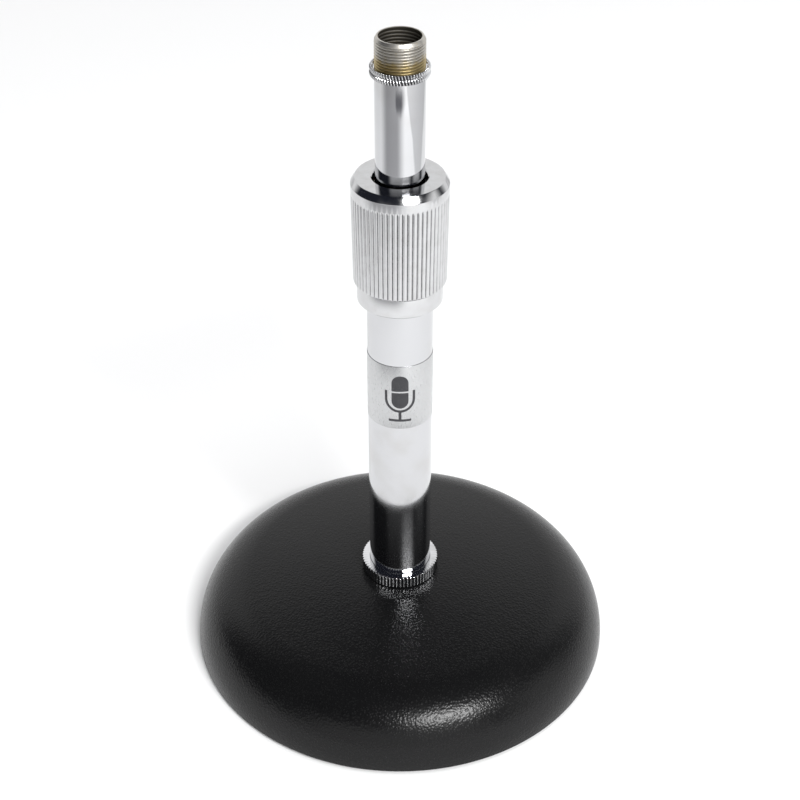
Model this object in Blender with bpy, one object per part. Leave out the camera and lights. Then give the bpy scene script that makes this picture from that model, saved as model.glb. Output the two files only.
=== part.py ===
"""Telescoping desk microphone stand: a cast base, two nested tubes and a knurled twist clutch.

Units are metres, +Z is up, the origin is the centre of the plane that the feet stand on, and the
label faces -Y. The column stands on the Z axis, so every turned piece is turned about that axis.
"""

import math

import bmesh
import bpy
from mathutils import Matrix, Vector

# ---- fits ----------------------------------------------------------------------------------------
CLEARANCE = 0.0003
CHAMFER = 0.0005
THREAD_PITCH = 0.0254 / 27

# ---- base ----------------------------------------------------------------------------------------
BASE_RADIUS = 0.0762
BASE_SHOULDER_HEIGHT = 0.0260
BASE_SIDE_LAND = 0.0019
BASE_DOME_RISE = 0.0036
BASE_SEAT_DROP = 0.0003
BASE_RIM_CHAMFER = 0.0007
BASE_TOP_WALL = 0.0090
BASE_RIM_WALL = 0.0097
BASE_RIM_DRAFT = 0.0005
BASE_CAVITY_FILLET = 0.0140
BOSS_WALL = 0.0061
BOSS_BOTTOM_HEIGHT = 0.0080

# ---- feet ----------------------------------------------------------------------------------------
FOOT_COUNT = 4
FOOT_RADIUS = 0.0060
FOOT_PROUD = 0.0012
FOOT_SUNK = 0.0010
FOOT_BOSS_WALL = 0.0022
FOOT_BOSS_TAPER = 0.0045
FOOT_BOSS_OVERLAP = 0.0006
FOOT_FIRST_ANGLE = math.radians(45)

# ---- base lock ring ------------------------------------------------------------------------------
LOCK_RING_WALL = 0.00249
LOCK_RING_HEIGHT = 0.0046
LOCK_RING_TEETH = 64
LOCK_RING_TOOTH_DEPTH = 0.00045

# ---- outer tube and what is on or in it ----------------------------------------------------------
OUTER_TUBE_WALL = 0.00151
OUTER_TUBE_LENGTH = 0.1560
OUTER_TUBE_INSET = 0.0010
LABEL_BELOW_COLLAR = 0.0210
LABEL_HEIGHT = 0.0254
LABEL_THICKNESS = 0.00025
LABEL_GAP = 0.00015
LABEL_WRAP = math.radians(216)
BUMPER_HEIGHT = 0.0115
BUMPER_INSET = 0.0005

# ---- clutch --------------------------------------------------------------------------------------
CLUTCH_TUBE_DEPTH = 0.0182
COLLAR_WALL = 0.0029
COLLAR_HEIGHT = 0.0067
CLUTCH_THREAD_WALL = 0.00149
SEAT_STEP_HEIGHT = 0.0032
SEAT_HEIGHT = 0.0075
SEAT_LIP_WALL = 0.0010
COLLET_NARROW_WALL = 0.00116
COLLET_RISE = 0.0065
COLLET_SPLIT = 0.0020
WASHER_RIM_GAP = 0.0007
WASHER_BORE_GAP = 0.00056
WASHER_THICKNESS = 0.0012
SLEEVE_WALL = 0.00223
SLEEVE_TAPER = 0.00041
SLEEVE_TOP_WALL = 0.0070
SLEEVE_MOUTH_GAP = 0.00098
SLEEVE_CHAMFER_WIDTH = 0.00144
SLEEVE_CHAMFER_HEIGHT = 0.0022
SLEEVE_BAND_HEIGHT = 0.0034
SLEEVE_FOOT_CHAMFER = 0.0009
SLEEVE_RIDGES = 60
SLEEVE_RIDGE_DEPTH = 0.00050

# ---- inner tube and what is on it ----------------------------------------------------------------
INNER_TUBE_RADIUS = 0.00794
INNER_TUBE_WALL = 0.0012
INNER_TUBE_LENGTH = 0.1720
INNER_TUBE_SHOWING = 0.0352
BUSH_WALL = 0.00106
BUSH_HEIGHT = 0.0140
CLIP_GROOVE_DEPTH = 0.00064
CLIP_THICKNESS = 0.0012
CLIP_RIM_GAP = 0.0006
CLIP_OPENING = 0.0030
CLIP_END_MARGIN = 0.0009

# ---- threaded top --------------------------------------------------------------------------------
FITTING_SPIGOT_HEIGHT = 0.0115
FITTING_SPIGOT_WALL = 0.00134
FITTING_MOUTH_DEPTH = 0.0090
FITTING_SHANK_LENGTH = 0.0165
FITTING_SHANK_WALL = 0.00114
FITTING_THREAD_DEPTH = 0.00055
THREAD_RING_WALL = 0.0013
THREAD_RING_HEIGHT = 0.0032
THREAD_RING_RISE = 0.0024
THREAD_RING_TEETH = 60
THREAD_RING_TOOTH_DEPTH = 0.00040
THREAD_RING_GROOVE_DEPTH = 0.00060
THREAD_RING_TOOTH_SHARE = 0.2

# ---- how finely round shapes are cut -------------------------------------------------------------
BASE_STEPS = 44
COLUMN_STEPS = 36
SMALL_STEPS = 28
FOOT_STEPS = 16
SHOULDER_STEPS = 6
DOME_STEPS = 4
FILLET_STEPS = 3
THREAD_STEPS = 18
THREAD_ROWS_PER_TURN = 4
SMOOTH_ANGLE = math.radians(35)
MERGE_DISTANCE = 0.000001

# ---- radii that follow, from the inner tube outwards ----------------------------------------------
INNER_TUBE_BORE = INNER_TUBE_RADIUS - INNER_TUBE_WALL
INNER_RUNNING_BORE = INNER_TUBE_RADIUS + CLEARANCE
CLIP_GROOVE_RADIUS = INNER_TUBE_RADIUS - CLIP_GROOVE_DEPTH
COLUMN_SLIDE_RADIUS = INNER_RUNNING_BORE + BUSH_WALL
OUTER_TUBE_BORE = COLUMN_SLIDE_RADIUS + CLEARANCE
OUTER_TUBE_RADIUS = OUTER_TUBE_BORE + OUTER_TUBE_WALL
TUBE_BORE = OUTER_TUBE_RADIUS + CLEARANCE
LOCK_RING_RADIUS = TUBE_BORE + LOCK_RING_WALL
COLLAR_RADIUS = TUBE_BORE + COLLAR_WALL
CLUTCH_THREAD_RADIUS = TUBE_BORE + CLUTCH_THREAD_WALL
SEAT_SMALL_RADIUS = INNER_RUNNING_BORE + COLLET_NARROW_WALL
SEAT_LARGE_RADIUS = CLUTCH_THREAD_RADIUS - SEAT_LIP_WALL
SLEEVE_BORE = CLUTCH_THREAD_RADIUS + CLEARANCE
SLEEVE_GRIP_RADIUS = SLEEVE_BORE + SLEEVE_WALL
SLEEVE_RADIUS = SLEEVE_GRIP_RADIUS + SLEEVE_TAPER
THREAD_RING_RADIUS = INNER_RUNNING_BORE + THREAD_RING_WALL

# ---- heights that follow, from the floor upwards --------------------------------------------------
BASE_SHOULDER_RADIUS = BASE_SHOULDER_HEIGHT - BASE_SIDE_LAND
BASE_APEX_HEIGHT = BASE_SHOULDER_HEIGHT + BASE_DOME_RISE
BASE_SEAT_HEIGHT = BASE_APEX_HEIGHT - BASE_SEAT_DROP
BASE_CEILING = BASE_SEAT_HEIGHT - BASE_TOP_WALL
OUTER_TUBE_BOTTOM = BOSS_BOTTOM_HEIGHT + OUTER_TUBE_INSET
OUTER_TUBE_TOP = OUTER_TUBE_BOTTOM + OUTER_TUBE_LENGTH
COLLAR_BOTTOM = OUTER_TUBE_TOP - CLUTCH_TUBE_DEPTH
COLLAR_TOP = COLLAR_BOTTOM + COLLAR_HEIGHT
LABEL_TOP = COLLAR_BOTTOM - LABEL_BELOW_COLLAR
CLUTCH_STOP = OUTER_TUBE_TOP + CLEARANCE
SEAT_BOTTOM = CLUTCH_STOP + SEAT_STEP_HEIGHT
SEAT_TOP = SEAT_BOTTOM + SEAT_HEIGHT
COLLET_TOP = SEAT_TOP + COLLET_RISE
WASHER_BOTTOM = COLLET_TOP + CLEARANCE
WASHER_TOP = WASHER_BOTTOM + WASHER_THICKNESS
SLEEVE_CEILING = WASHER_TOP + CLEARANCE
SLEEVE_TOP = SLEEVE_CEILING + SLEEVE_TOP_WALL
INNER_TUBE_TOP = SLEEVE_TOP + INNER_TUBE_SHOWING
INNER_TUBE_BOTTOM = INNER_TUBE_TOP - INNER_TUBE_LENGTH
LOWER_CLIP_BOTTOM = INNER_TUBE_BOTTOM + CLIP_END_MARGIN
BUSH_BOTTOM = LOWER_CLIP_BOTTOM + CLIP_THICKNESS + CLEARANCE
UPPER_CLIP_BOTTOM = BUSH_BOTTOM + BUSH_HEIGHT + CLEARANCE
FITTING_TOP = INNER_TUBE_TOP + FITTING_SPIGOT_HEIGHT
THREAD_RING_TOP = INNER_TUBE_TOP + THREAD_RING_RISE


def material(name, colour, roughness, metallic):
    """A Principled material of one colour."""
    made = bpy.data.materials.new(name)
    made.use_nodes = True
    shader = made.node_tree.nodes["Principled BSDF"]
    shader.inputs["Base Color"].default_value = (*colour, 1.0)
    shader.inputs["Roughness"].default_value = roughness
    shader.inputs["Metallic"].default_value = metallic
    return made


def textured_black():
    return material("textured_black", (0.016, 0.016, 0.018), 0.42, 0.0)


def polished_chrome():
    return material("polished_chrome", (0.80, 0.81, 0.83), 0.08, 1.0)


def satin_chrome():
    return material("satin_chrome", (0.72, 0.73, 0.75), 0.28, 1.0)


def worn_brass():
    return material("worn_brass", (0.56, 0.47, 0.30), 0.30, 1.0)


def spring_steel():
    return material("spring_steel", (0.32, 0.33, 0.36), 0.35, 1.0)


def nylon():
    return material("nylon", (0.74, 0.73, 0.68), 0.50, 0.0)


def black_rubber():
    return material("black_rubber", (0.020, 0.020, 0.020), 0.75, 0.0)


def foil():
    return material("foil", (0.62, 0.63, 0.65), 0.38, 1.0)


def arc(centre, radius, start, end, steps):
    """Points (r, z) on an arc about centre, from the angle start to the angle end."""
    points = []
    for step in range(steps + 1):
        angle = start + (end - start) * step / steps
        points.append((centre[0] + radius * math.cos(angle), centre[1] + radius * math.sin(angle)))
    return points


def object_from(bm, name, finish):
    """An object from the bmesh, closed, facing outwards and shaded smooth below SMOOTH_ANGLE."""
    bmesh.ops.remove_doubles(bm, verts=bm.verts[:], dist=MERGE_DISTANCE)
    bmesh.ops.recalc_face_normals(bm, faces=bm.faces[:])
    mesh = bpy.data.meshes.new(name)
    bm.to_mesh(mesh)
    bm.free()
    mesh.shade_smooth()
    mesh.set_sharp_from_angle(angle=SMOOTH_ANGLE)
    made = bpy.data.objects.new(name, mesh)
    if finish is not None:
        mesh.materials.append(finish)
    bpy.context.scene.collection.objects.link(made)
    return made


def turned_bmesh(profile, steps, sweep=2 * math.pi):
    """The closed outline profile, as (r, z) points, spun about Z; an open sweep gets end faces."""
    bm = bmesh.new()
    verts = [bm.verts.new((radius, 0.0, height)) for radius, height in profile]
    edges = [bm.edges.new((verts[i], verts[(i + 1) % len(verts)])) for i in range(len(verts))]
    spun = bmesh.ops.spin(
        bm, geom=verts + edges, cent=(0, 0, 0), axis=(0, 0, 1), angle=sweep, steps=steps
    )
    if sweep < 2 * math.pi:
        bm.faces.new(verts)
        bm.faces.new([part for part in spun["geom_last"] if isinstance(part, bmesh.types.BMVert)])
    return bm


def turned(name, profile, finish, steps=COLUMN_STEPS):
    """A fully turned piece with a bore."""
    return object_from(turned_bmesh(profile, steps), name, finish)


def split_ring(name, profile, finish, opening, radius, steps=SMALL_STEPS):
    """A turned ring that is open by the width opening, measured at radius, on its -X side."""
    gap = 2 * math.asin(opening / 2 / radius)
    bm = turned_bmesh(profile, steps, 2 * math.pi - gap)
    bmesh.ops.rotate(bm, verts=bm.verts[:], cent=(0, 0, 0), matrix=Matrix.Rotation(math.pi + gap / 2, 3, "Z"))
    return object_from(bm, name, finish)


def plug(name, radius, bottom, height, chamfer, finish, steps):
    """A solid round plug with chamfered ends, standing on the Z axis."""
    bm = bmesh.new()
    bmesh.ops.create_cone(
        bm, cap_ends=True, cap_tris=False, segments=steps, radius1=radius, radius2=radius, depth=height
    )
    rims = [edge for edge in bm.edges if abs(edge.verts[0].co.z - edge.verts[1].co.z) < MERGE_DISTANCE]
    if chamfer:
        bmesh.ops.bevel(bm, geom=rims, offset=chamfer, segments=1, affect="EDGES", profile=0.5)
    bmesh.ops.translate(bm, verts=bm.verts[:], vec=(0, 0, bottom + height / 2))
    return object_from(bm, name, finish)


def lofted(name, loops, finish):
    """A ring-shaped solid through closed loops of equally many points, the last joined to the first."""
    bm = bmesh.new()
    rings = [[bm.verts.new(point) for point in loop] for loop in loops]
    for ring in rings:
        for i in range(len(ring)):
            bm.edges.new((ring[i], ring[(i + 1) % len(ring)]))
    for lower, upper in zip(rings, rings[1:] + rings[:1]):
        for i in range(len(lower)):
            j = (i + 1) % len(lower)
            bm.faces.new((lower[i], lower[j], upper[j], upper[i]))
    return object_from(bm, name, finish)


def round_loop(radius, height, count):
    """Count points on a level circle."""
    return [
        (radius * math.cos(2 * math.pi * i / count), radius * math.sin(2 * math.pi * i / count), height)
        for i in range(count)
    ]


def toothed_loop(radius, depth, height, teeth):
    """A level circle whose points lie in turn on the tooth tips and in the grooves."""
    points = []
    for i in range(2 * teeth):
        reach = radius if i % 2 == 0 else radius - depth
        angle = math.pi * i / teeth
        points.append((reach * math.cos(angle), reach * math.sin(angle), height))
    return points


def base_outline():
    """Half section of the casting: rim, rounded shoulder, dome, seat, bore, boss and cavity."""
    shoulder = (BASE_RADIUS - BASE_SHOULDER_RADIUS, BASE_SHOULDER_HEIGHT - BASE_SHOULDER_RADIUS)
    apex_rise = BASE_APEX_HEIGHT - shoulder[1]
    dome_radius = (shoulder[0] ** 2 + apex_rise**2 - BASE_SHOULDER_RADIUS**2) / (
        2 * (apex_rise - BASE_SHOULDER_RADIUS)
    )
    dome = (0.0, BASE_APEX_HEIGHT - dome_radius)
    meet = math.acos(shoulder[0] / (dome_radius - BASE_SHOULDER_RADIUS))
    seat = math.asin((dome_radius - BASE_SEAT_DROP) / dome_radius)
    cavity_radius = BASE_RADIUS - BASE_RIM_WALL - BASE_RIM_DRAFT
    corner = (cavity_radius - BASE_CAVITY_FILLET, BASE_CEILING - BASE_CAVITY_FILLET)
    boss_radius = TUBE_BORE + BOSS_WALL
    return (
        [(BASE_RADIUS - BASE_RIM_CHAMFER, FOOT_PROUD)]
        + arc(shoulder, BASE_SHOULDER_RADIUS, 0.0, meet, SHOULDER_STEPS)
        + arc(dome, dome_radius, meet, seat, DOME_STEPS)[1:]
        + [
            (TUBE_BORE, BASE_SEAT_HEIGHT),
            (TUBE_BORE, BOSS_BOTTOM_HEIGHT),
            (boss_radius, BOSS_BOTTOM_HEIGHT),
            (boss_radius, BASE_CEILING),
        ]
        + arc(corner, BASE_CAVITY_FILLET, math.pi / 2, 0.0, FILLET_STEPS)
        + [(cavity_radius + BASE_RIM_DRAFT, FOOT_PROUD)]
    )


def foot_centres():
    """Where the feet stand, one on each diagonal."""
    reach = BASE_RADIUS - BASE_RIM_WALL - FOOT_RADIUS
    angles = [FOOT_FIRST_ANGLE + 2 * math.pi * i / FOOT_COUNT for i in range(FOOT_COUNT)]
    return [Vector((reach * math.cos(angle), reach * math.sin(angle), 0.0)) for angle in angles]


def upright_cones(name, bottom_radius, top_radius, bottom, top):
    """One helper object holding a cone or cylinder over each foot's place, for a Boolean."""
    bm = bmesh.new()
    for centre in foot_centres():
        bmesh.ops.create_cone(
            bm,
            cap_ends=True,
            segments=FOOT_STEPS,
            radius1=bottom_radius,
            radius2=top_radius,
            depth=top - bottom,
            matrix=Matrix.Translation(centre + Vector((0, 0, (bottom + top) / 2))),
        )
    helper = object_from(bm, name, None)
    helper.hide_render = True
    helper.display_type = "WIRE"
    return helper


def add_boolean(target, helper, operation):
    """An exact Boolean with the helper on the target."""
    modifier = target.modifiers.new(helper.name, "BOOLEAN")
    modifier.operation = operation
    modifier.object = helper
    modifier.solver = "EXACT"


def make_base_casting():
    """The weight: a turned shell with a threaded centre boss and a tapered boss for each foot."""
    casting = turned("base_casting", base_outline(), textured_black(), BASE_STEPS)
    boss_top = BASE_CEILING + FOOT_BOSS_OVERLAP
    recess_radius = FOOT_RADIUS + CLEARANCE
    recess_top = FOOT_PROUD + FOOT_SUNK + CLEARANCE
    boss_radius = recess_radius + FOOT_BOSS_WALL
    boss_tip = boss_radius - FOOT_BOSS_TAPER
    bosses = upright_cones("foot_bosses", boss_radius, boss_tip, FOOT_PROUD, boss_top)
    recesses = upright_cones("foot_recesses", recess_radius, recess_radius, 0.0, recess_top)
    add_boolean(casting, bosses, "UNION")
    add_boolean(casting, recesses, "DIFFERENCE")


def make_feet():
    """Four rubber feet that share one mesh."""
    height = FOOT_PROUD + FOOT_SUNK
    first = plug("base_foot_1", FOOT_RADIUS, 0.0, height, CHAMFER, black_rubber(), FOOT_STEPS)
    for number, centre in enumerate(foot_centres(), start=1):
        foot = first if number == 1 else bpy.data.objects.new(f"base_foot_{number}", first.data)
        if number > 1:
            bpy.context.scene.collection.objects.link(foot)
        foot.location = centre


def make_base_lock_ring():
    """The knurled nut that jams the outer tube against the base's seat."""
    bottom = BASE_SEAT_HEIGHT + CLEARANCE
    top = bottom + LOCK_RING_HEIGHT
    count = 2 * LOCK_RING_TEETH
    rim = LOCK_RING_RADIUS - LOCK_RING_TOOTH_DEPTH - CHAMFER
    loops = [
        round_loop(TUBE_BORE, bottom, count),
        round_loop(rim, bottom, count),
        toothed_loop(LOCK_RING_RADIUS, LOCK_RING_TOOTH_DEPTH, bottom + CHAMFER, LOCK_RING_TEETH),
        toothed_loop(LOCK_RING_RADIUS, LOCK_RING_TOOTH_DEPTH, top - CHAMFER, LOCK_RING_TEETH),
        round_loop(rim, top, count),
        round_loop(TUBE_BORE, top, count),
    ]
    lofted("base_lock_ring", loops, polished_chrome())


def make_outer_tube():
    """The lower tube, screwed down into the base's boss."""
    profile = [
        (OUTER_TUBE_BORE, OUTER_TUBE_BOTTOM),
        (OUTER_TUBE_RADIUS, OUTER_TUBE_BOTTOM),
        (OUTER_TUBE_RADIUS, OUTER_TUBE_TOP),
        (OUTER_TUBE_BORE, OUTER_TUBE_TOP),
    ]
    turned("outer_tube", profile, polished_chrome())


def make_tube_label():
    """The foil label, centred on the front of the outer tube."""
    inner = OUTER_TUBE_RADIUS + LABEL_GAP
    outer = inner + LABEL_THICKNESS
    bottom = LABEL_TOP - LABEL_HEIGHT
    profile = [(inner, bottom), (outer, bottom), (outer, LABEL_TOP), (inner, LABEL_TOP)]
    steps = round(COLUMN_STEPS * LABEL_WRAP / (2 * math.pi))
    bm = turned_bmesh(profile, steps, LABEL_WRAP)
    start = -math.pi / 2 - LABEL_WRAP / 2
    bmesh.ops.rotate(bm, verts=bm.verts[:], cent=(0, 0, 0), matrix=Matrix.Rotation(start, 3, "Z"))
    object_from(bm, "tube_label", foil())


def make_tube_bumper():
    """The rubber stop that the inner tube comes down on."""
    bottom = OUTER_TUBE_BOTTOM + BUMPER_INSET
    plug("tube_bumper", COLUMN_SLIDE_RADIUS, bottom, BUMPER_HEIGHT, CHAMFER, black_rubber(), SMALL_STEPS)


def seat_radius(height):
    """The radius of the clutch body's tapered seat at this height."""
    share = (height - SEAT_BOTTOM) / SEAT_HEIGHT
    return SEAT_SMALL_RADIUS + (SEAT_LARGE_RADIUS - SEAT_SMALL_RADIUS) * share


def make_clutch_body():
    """Collar, male thread and tapered seat in one, fixed on the outer tube's top."""
    profile = [
        (TUBE_BORE, COLLAR_BOTTOM),
        (COLLAR_RADIUS, COLLAR_BOTTOM),
        (COLLAR_RADIUS, COLLAR_TOP),
        (CLUTCH_THREAD_RADIUS, COLLAR_TOP),
        (CLUTCH_THREAD_RADIUS, SEAT_TOP - CHAMFER),
        (CLUTCH_THREAD_RADIUS - CHAMFER, SEAT_TOP),
        (SEAT_LARGE_RADIUS, SEAT_TOP),
        (SEAT_SMALL_RADIUS, SEAT_BOTTOM),
        (INNER_RUNNING_BORE, SEAT_BOTTOM),
        (INNER_RUNNING_BORE, CLUTCH_STOP),
        (TUBE_BORE, CLUTCH_STOP),
    ]
    turned("clutch_body", profile, satin_chrome())


def make_clutch_collet():
    """The split tapered ring that the washer presses down into the seat."""
    bottom = SEAT_BOTTOM + CLEARANCE
    wide = SEAT_LARGE_RADIUS - CLEARANCE
    profile = [
        (INNER_RUNNING_BORE, bottom),
        (seat_radius(bottom) - CLEARANCE, bottom),
        (wide, SEAT_TOP),
        (wide, COLLET_TOP),
        (INNER_RUNNING_BORE, COLLET_TOP),
    ]
    split_ring("clutch_collet", profile, nylon(), COLLET_SPLIT, INNER_RUNNING_BORE)


def make_clutch_washer():
    """The steel thrust washer between the grip and the collet."""
    bore = INNER_TUBE_RADIUS + WASHER_BORE_GAP
    rim = CLUTCH_THREAD_RADIUS - WASHER_RIM_GAP
    profile = [(bore, WASHER_BOTTOM), (rim, WASHER_BOTTOM), (rim, WASHER_TOP), (bore, WASHER_TOP)]
    turned("clutch_washer", profile, spring_steel(), SMALL_STEPS)


def make_clutch_sleeve():
    """The grip: straight ridges below, a smooth band and a chamfered mouth above."""
    count = 2 * SLEEVE_RIDGES
    bottom = COLLAR_TOP + CLEARANCE
    mouth = INNER_TUBE_RADIUS + SLEEVE_MOUTH_GAP
    flat = SLEEVE_RADIUS - SLEEVE_CHAMFER_WIDTH
    chamfer_bottom = SLEEVE_TOP - SLEEVE_CHAMFER_HEIGHT
    ridge_top = chamfer_bottom - SLEEVE_BAND_HEIGHT
    foot_radius = SLEEVE_GRIP_RADIUS - SLEEVE_RIDGE_DEPTH - SLEEVE_FOOT_CHAMFER / 2
    loops = [
        round_loop(mouth, SLEEVE_CEILING, count),
        round_loop(SLEEVE_BORE, SLEEVE_CEILING, count),
        round_loop(SLEEVE_BORE, bottom, count),
        round_loop(foot_radius, bottom, count),
        toothed_loop(SLEEVE_GRIP_RADIUS, SLEEVE_RIDGE_DEPTH, bottom + SLEEVE_FOOT_CHAMFER, SLEEVE_RIDGES),
        toothed_loop(SLEEVE_RADIUS, SLEEVE_RIDGE_DEPTH, ridge_top, SLEEVE_RIDGES),
        round_loop(SLEEVE_RADIUS, ridge_top + SLEEVE_RIDGE_DEPTH, count),
        round_loop(SLEEVE_RADIUS, chamfer_bottom, count),
        round_loop(flat, SLEEVE_TOP, count),
        round_loop(mouth, SLEEVE_TOP, count),
    ]
    lofted("clutch_sleeve", loops, satin_chrome())


def make_inner_tube():
    """The upper tube, with a groove for each snap ring near its lower end."""
    profile = [(INNER_TUBE_BORE, INNER_TUBE_BOTTOM), (INNER_TUBE_RADIUS, INNER_TUBE_BOTTOM)]
    for clip_bottom in (LOWER_CLIP_BOTTOM, UPPER_CLIP_BOTTOM):
        low = clip_bottom - CLEARANCE
        high = clip_bottom + CLIP_THICKNESS + CLEARANCE
        profile += [(INNER_TUBE_RADIUS, low), (CLIP_GROOVE_RADIUS, low)]
        profile += [(CLIP_GROOVE_RADIUS, high), (INNER_TUBE_RADIUS, high)]
    profile += [(INNER_TUBE_RADIUS, INNER_TUBE_TOP), (INNER_TUBE_BORE, INNER_TUBE_TOP)]
    turned("inner_tube", profile, polished_chrome())


def make_bush_and_clips():
    """The bush that runs in the outer tube, and the snap ring on each side of it."""
    bush_top = BUSH_BOTTOM + BUSH_HEIGHT
    bush = [
        (INNER_RUNNING_BORE, BUSH_BOTTOM),
        (COLUMN_SLIDE_RADIUS, BUSH_BOTTOM),
        (COLUMN_SLIDE_RADIUS, bush_top),
        (INNER_RUNNING_BORE, bush_top),
    ]
    turned("guide_bush", bush, nylon(), SMALL_STEPS)
    bore = CLIP_GROOVE_RADIUS + CLEARANCE
    rim = OUTER_TUBE_BORE - CLIP_RIM_GAP
    for name, bottom in (("bush_clip_lower", LOWER_CLIP_BOTTOM), ("bush_clip_upper", UPPER_CLIP_BOTTOM)):
        top = bottom + CLIP_THICKNESS
        clip = [(bore, bottom), (rim, bottom), (rim, top), (bore, top)]
        split_ring(name, clip, spring_steel(), CLIP_OPENING, rim)


def thread_loop(height, crest, depth, count):
    """A level cut through a right-hand thread: the radius swings once from crest to root and back."""
    points = []
    for i in range(count):
        turn = i / count
        phase = (height / THREAD_PITCH - turn) % 1.0
        reach = crest - depth * abs(2 * phase - 1)
        angle = 2 * math.pi * turn
        points.append((reach * math.cos(angle), reach * math.sin(angle), height))
    return points


def make_thread_fitting():
    """The brass end piece: a shank inside the inner tube and a threaded spigot above it."""
    shank = INNER_TUBE_BORE - CLEARANCE
    shank_bottom = INNER_TUBE_TOP - FITTING_SHANK_LENGTH
    shank_bore = shank - FITTING_SHANK_WALL
    mouth_bore = INNER_TUBE_RADIUS - FITTING_SPIGOT_WALL
    mouth_bottom = FITTING_TOP - FITTING_MOUTH_DEPTH
    thread_bottom = INNER_TUBE_TOP + CLEARANCE
    root = INNER_TUBE_RADIUS - FITTING_THREAD_DEPTH
    low = thread_bottom + CHAMFER
    high = FITTING_TOP - CHAMFER
    rows = round((high - low) / THREAD_PITCH * THREAD_ROWS_PER_TURN)
    heights = [low + (high - low) * row / rows for row in range(rows + 1)]
    loops = [
        round_loop(shank_bore, shank_bottom, THREAD_STEPS),
        round_loop(shank, shank_bottom, THREAD_STEPS),
        round_loop(shank, thread_bottom, THREAD_STEPS),
        round_loop(root, thread_bottom, THREAD_STEPS),
    ]
    loops += [thread_loop(z, INNER_TUBE_RADIUS, FITTING_THREAD_DEPTH, THREAD_STEPS) for z in heights]
    loops += [
        round_loop(root, FITTING_TOP, THREAD_STEPS),
        round_loop(mouth_bore, FITTING_TOP, THREAD_STEPS),
        round_loop(mouth_bore, mouth_bottom, THREAD_STEPS),
        round_loop(shank_bore, mouth_bottom, THREAD_STEPS),
    ]
    lofted("thread_fitting", loops, worn_brass())


def make_thread_ring():
    """The knurled ring on the top thread, with a V groove between its two rows of teeth."""
    bottom = THREAD_RING_TOP - THREAD_RING_HEIGHT
    middle = bottom + THREAD_RING_HEIGHT / 2
    count = 2 * THREAD_RING_TEETH
    depth = THREAD_RING_TOOTH_DEPTH
    groove = THREAD_RING_RADIUS - THREAD_RING_GROOVE_DEPTH
    tooth = THREAD_RING_HEIGHT * THREAD_RING_TOOTH_SHARE
    loops = [
        round_loop(INNER_RUNNING_BORE, bottom, count),
        toothed_loop(THREAD_RING_RADIUS - depth, depth, bottom, THREAD_RING_TEETH),
        toothed_loop(THREAD_RING_RADIUS, depth, bottom + tooth, THREAD_RING_TEETH),
        round_loop(groove, middle, count),
        toothed_loop(THREAD_RING_RADIUS, depth, THREAD_RING_TOP - tooth, THREAD_RING_TEETH),
        toothed_loop(THREAD_RING_RADIUS - depth, depth, THREAD_RING_TOP, THREAD_RING_TEETH),
        round_loop(INNER_RUNNING_BORE, THREAD_RING_TOP, count),
    ]
    lofted("thread_ring", loops, polished_chrome())


def main():
    for leftover in list(bpy.data.objects):
        bpy.data.objects.remove(leftover)
    make_base_casting()
    make_feet()
    make_base_lock_ring()
    make_outer_tube()
    make_tube_label()
    make_tube_bumper()
    make_clutch_body()
    make_clutch_collet()
    make_clutch_washer()
    make_clutch_sleeve()
    make_inner_tube()
    make_bush_and_clips()
    make_thread_fitting()
    make_thread_ring()


main()
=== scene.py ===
"""Telescoping desk microphone stand: its visible pieces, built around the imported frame.

The stand is a weighted round base, a plated lower tube, a twist clutch, a plated upper tube that
slides and turns, and a threaded top with a knurled ring. Each sub-assembly is a class. Turned
shapes, knurls and threads are made by Geometry Nodes trees that are wired here.
"""

import logging
import math
from dataclasses import dataclass, field
from enum import Enum
from typing import Any, ClassVar, Optional, Sequence

import bmesh
import bpy
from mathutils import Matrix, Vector


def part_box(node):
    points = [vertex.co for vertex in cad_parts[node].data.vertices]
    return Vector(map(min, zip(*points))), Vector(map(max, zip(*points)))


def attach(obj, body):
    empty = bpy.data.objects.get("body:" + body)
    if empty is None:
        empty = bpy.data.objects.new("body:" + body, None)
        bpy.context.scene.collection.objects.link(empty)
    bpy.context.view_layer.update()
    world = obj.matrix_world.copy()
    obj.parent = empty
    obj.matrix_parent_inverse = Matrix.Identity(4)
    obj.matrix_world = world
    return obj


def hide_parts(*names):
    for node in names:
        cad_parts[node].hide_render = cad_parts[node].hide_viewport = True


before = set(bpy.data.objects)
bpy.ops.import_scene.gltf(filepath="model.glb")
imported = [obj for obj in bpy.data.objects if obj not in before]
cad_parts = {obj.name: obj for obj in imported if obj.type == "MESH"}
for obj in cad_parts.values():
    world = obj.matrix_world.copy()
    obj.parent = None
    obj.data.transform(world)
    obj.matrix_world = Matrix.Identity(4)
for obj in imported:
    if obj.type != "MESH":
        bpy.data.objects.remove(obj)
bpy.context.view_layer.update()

log = logging.getLogger("desk_stand")

Node = bpy.types.Node
Socket = bpy.types.NodeSocket
Point = tuple[float, float]
Corner = tuple[float, float, float]
Colour = tuple[float, float, float, float]

FRONT = -math.pi / 2
FULL_TURN = 2 * math.pi
PATH_RADIUS = 0.001
MERGE_DISTANCE = 1e-7
GROOVE_ATTRIBUTE = "groove"
PLAIN_SHARP_ANGLE = math.radians(35)
FLAT_CORNER = math.radians(89)
PAST_END = 0.001
STEPS_PER_TOOTH = 12
TUBE_ROW_SPACING = 0.02


class Body(Enum):
    """The bodies that a piece can ride on, by their names in the record."""

    STAND = "stand"
    COLLET = "collet"
    MAST = "mast"
    RING = "ring"
    THRUST = "thrust"
    GRIP = "grip"


class Slot(Enum):
    """The record's material slots."""

    TEXTURED_BLACK = "textured_black"
    POLISHED_CHROME = "polished_chrome"
    SATIN_CHROME = "satin_chrome"
    WORN_BRASS = "worn_brass"
    SPRING_STEEL = "spring_steel"
    NYLON = "nylon"
    BLACK_RUBBER = "black_rubber"
    FOIL = "foil"


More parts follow.
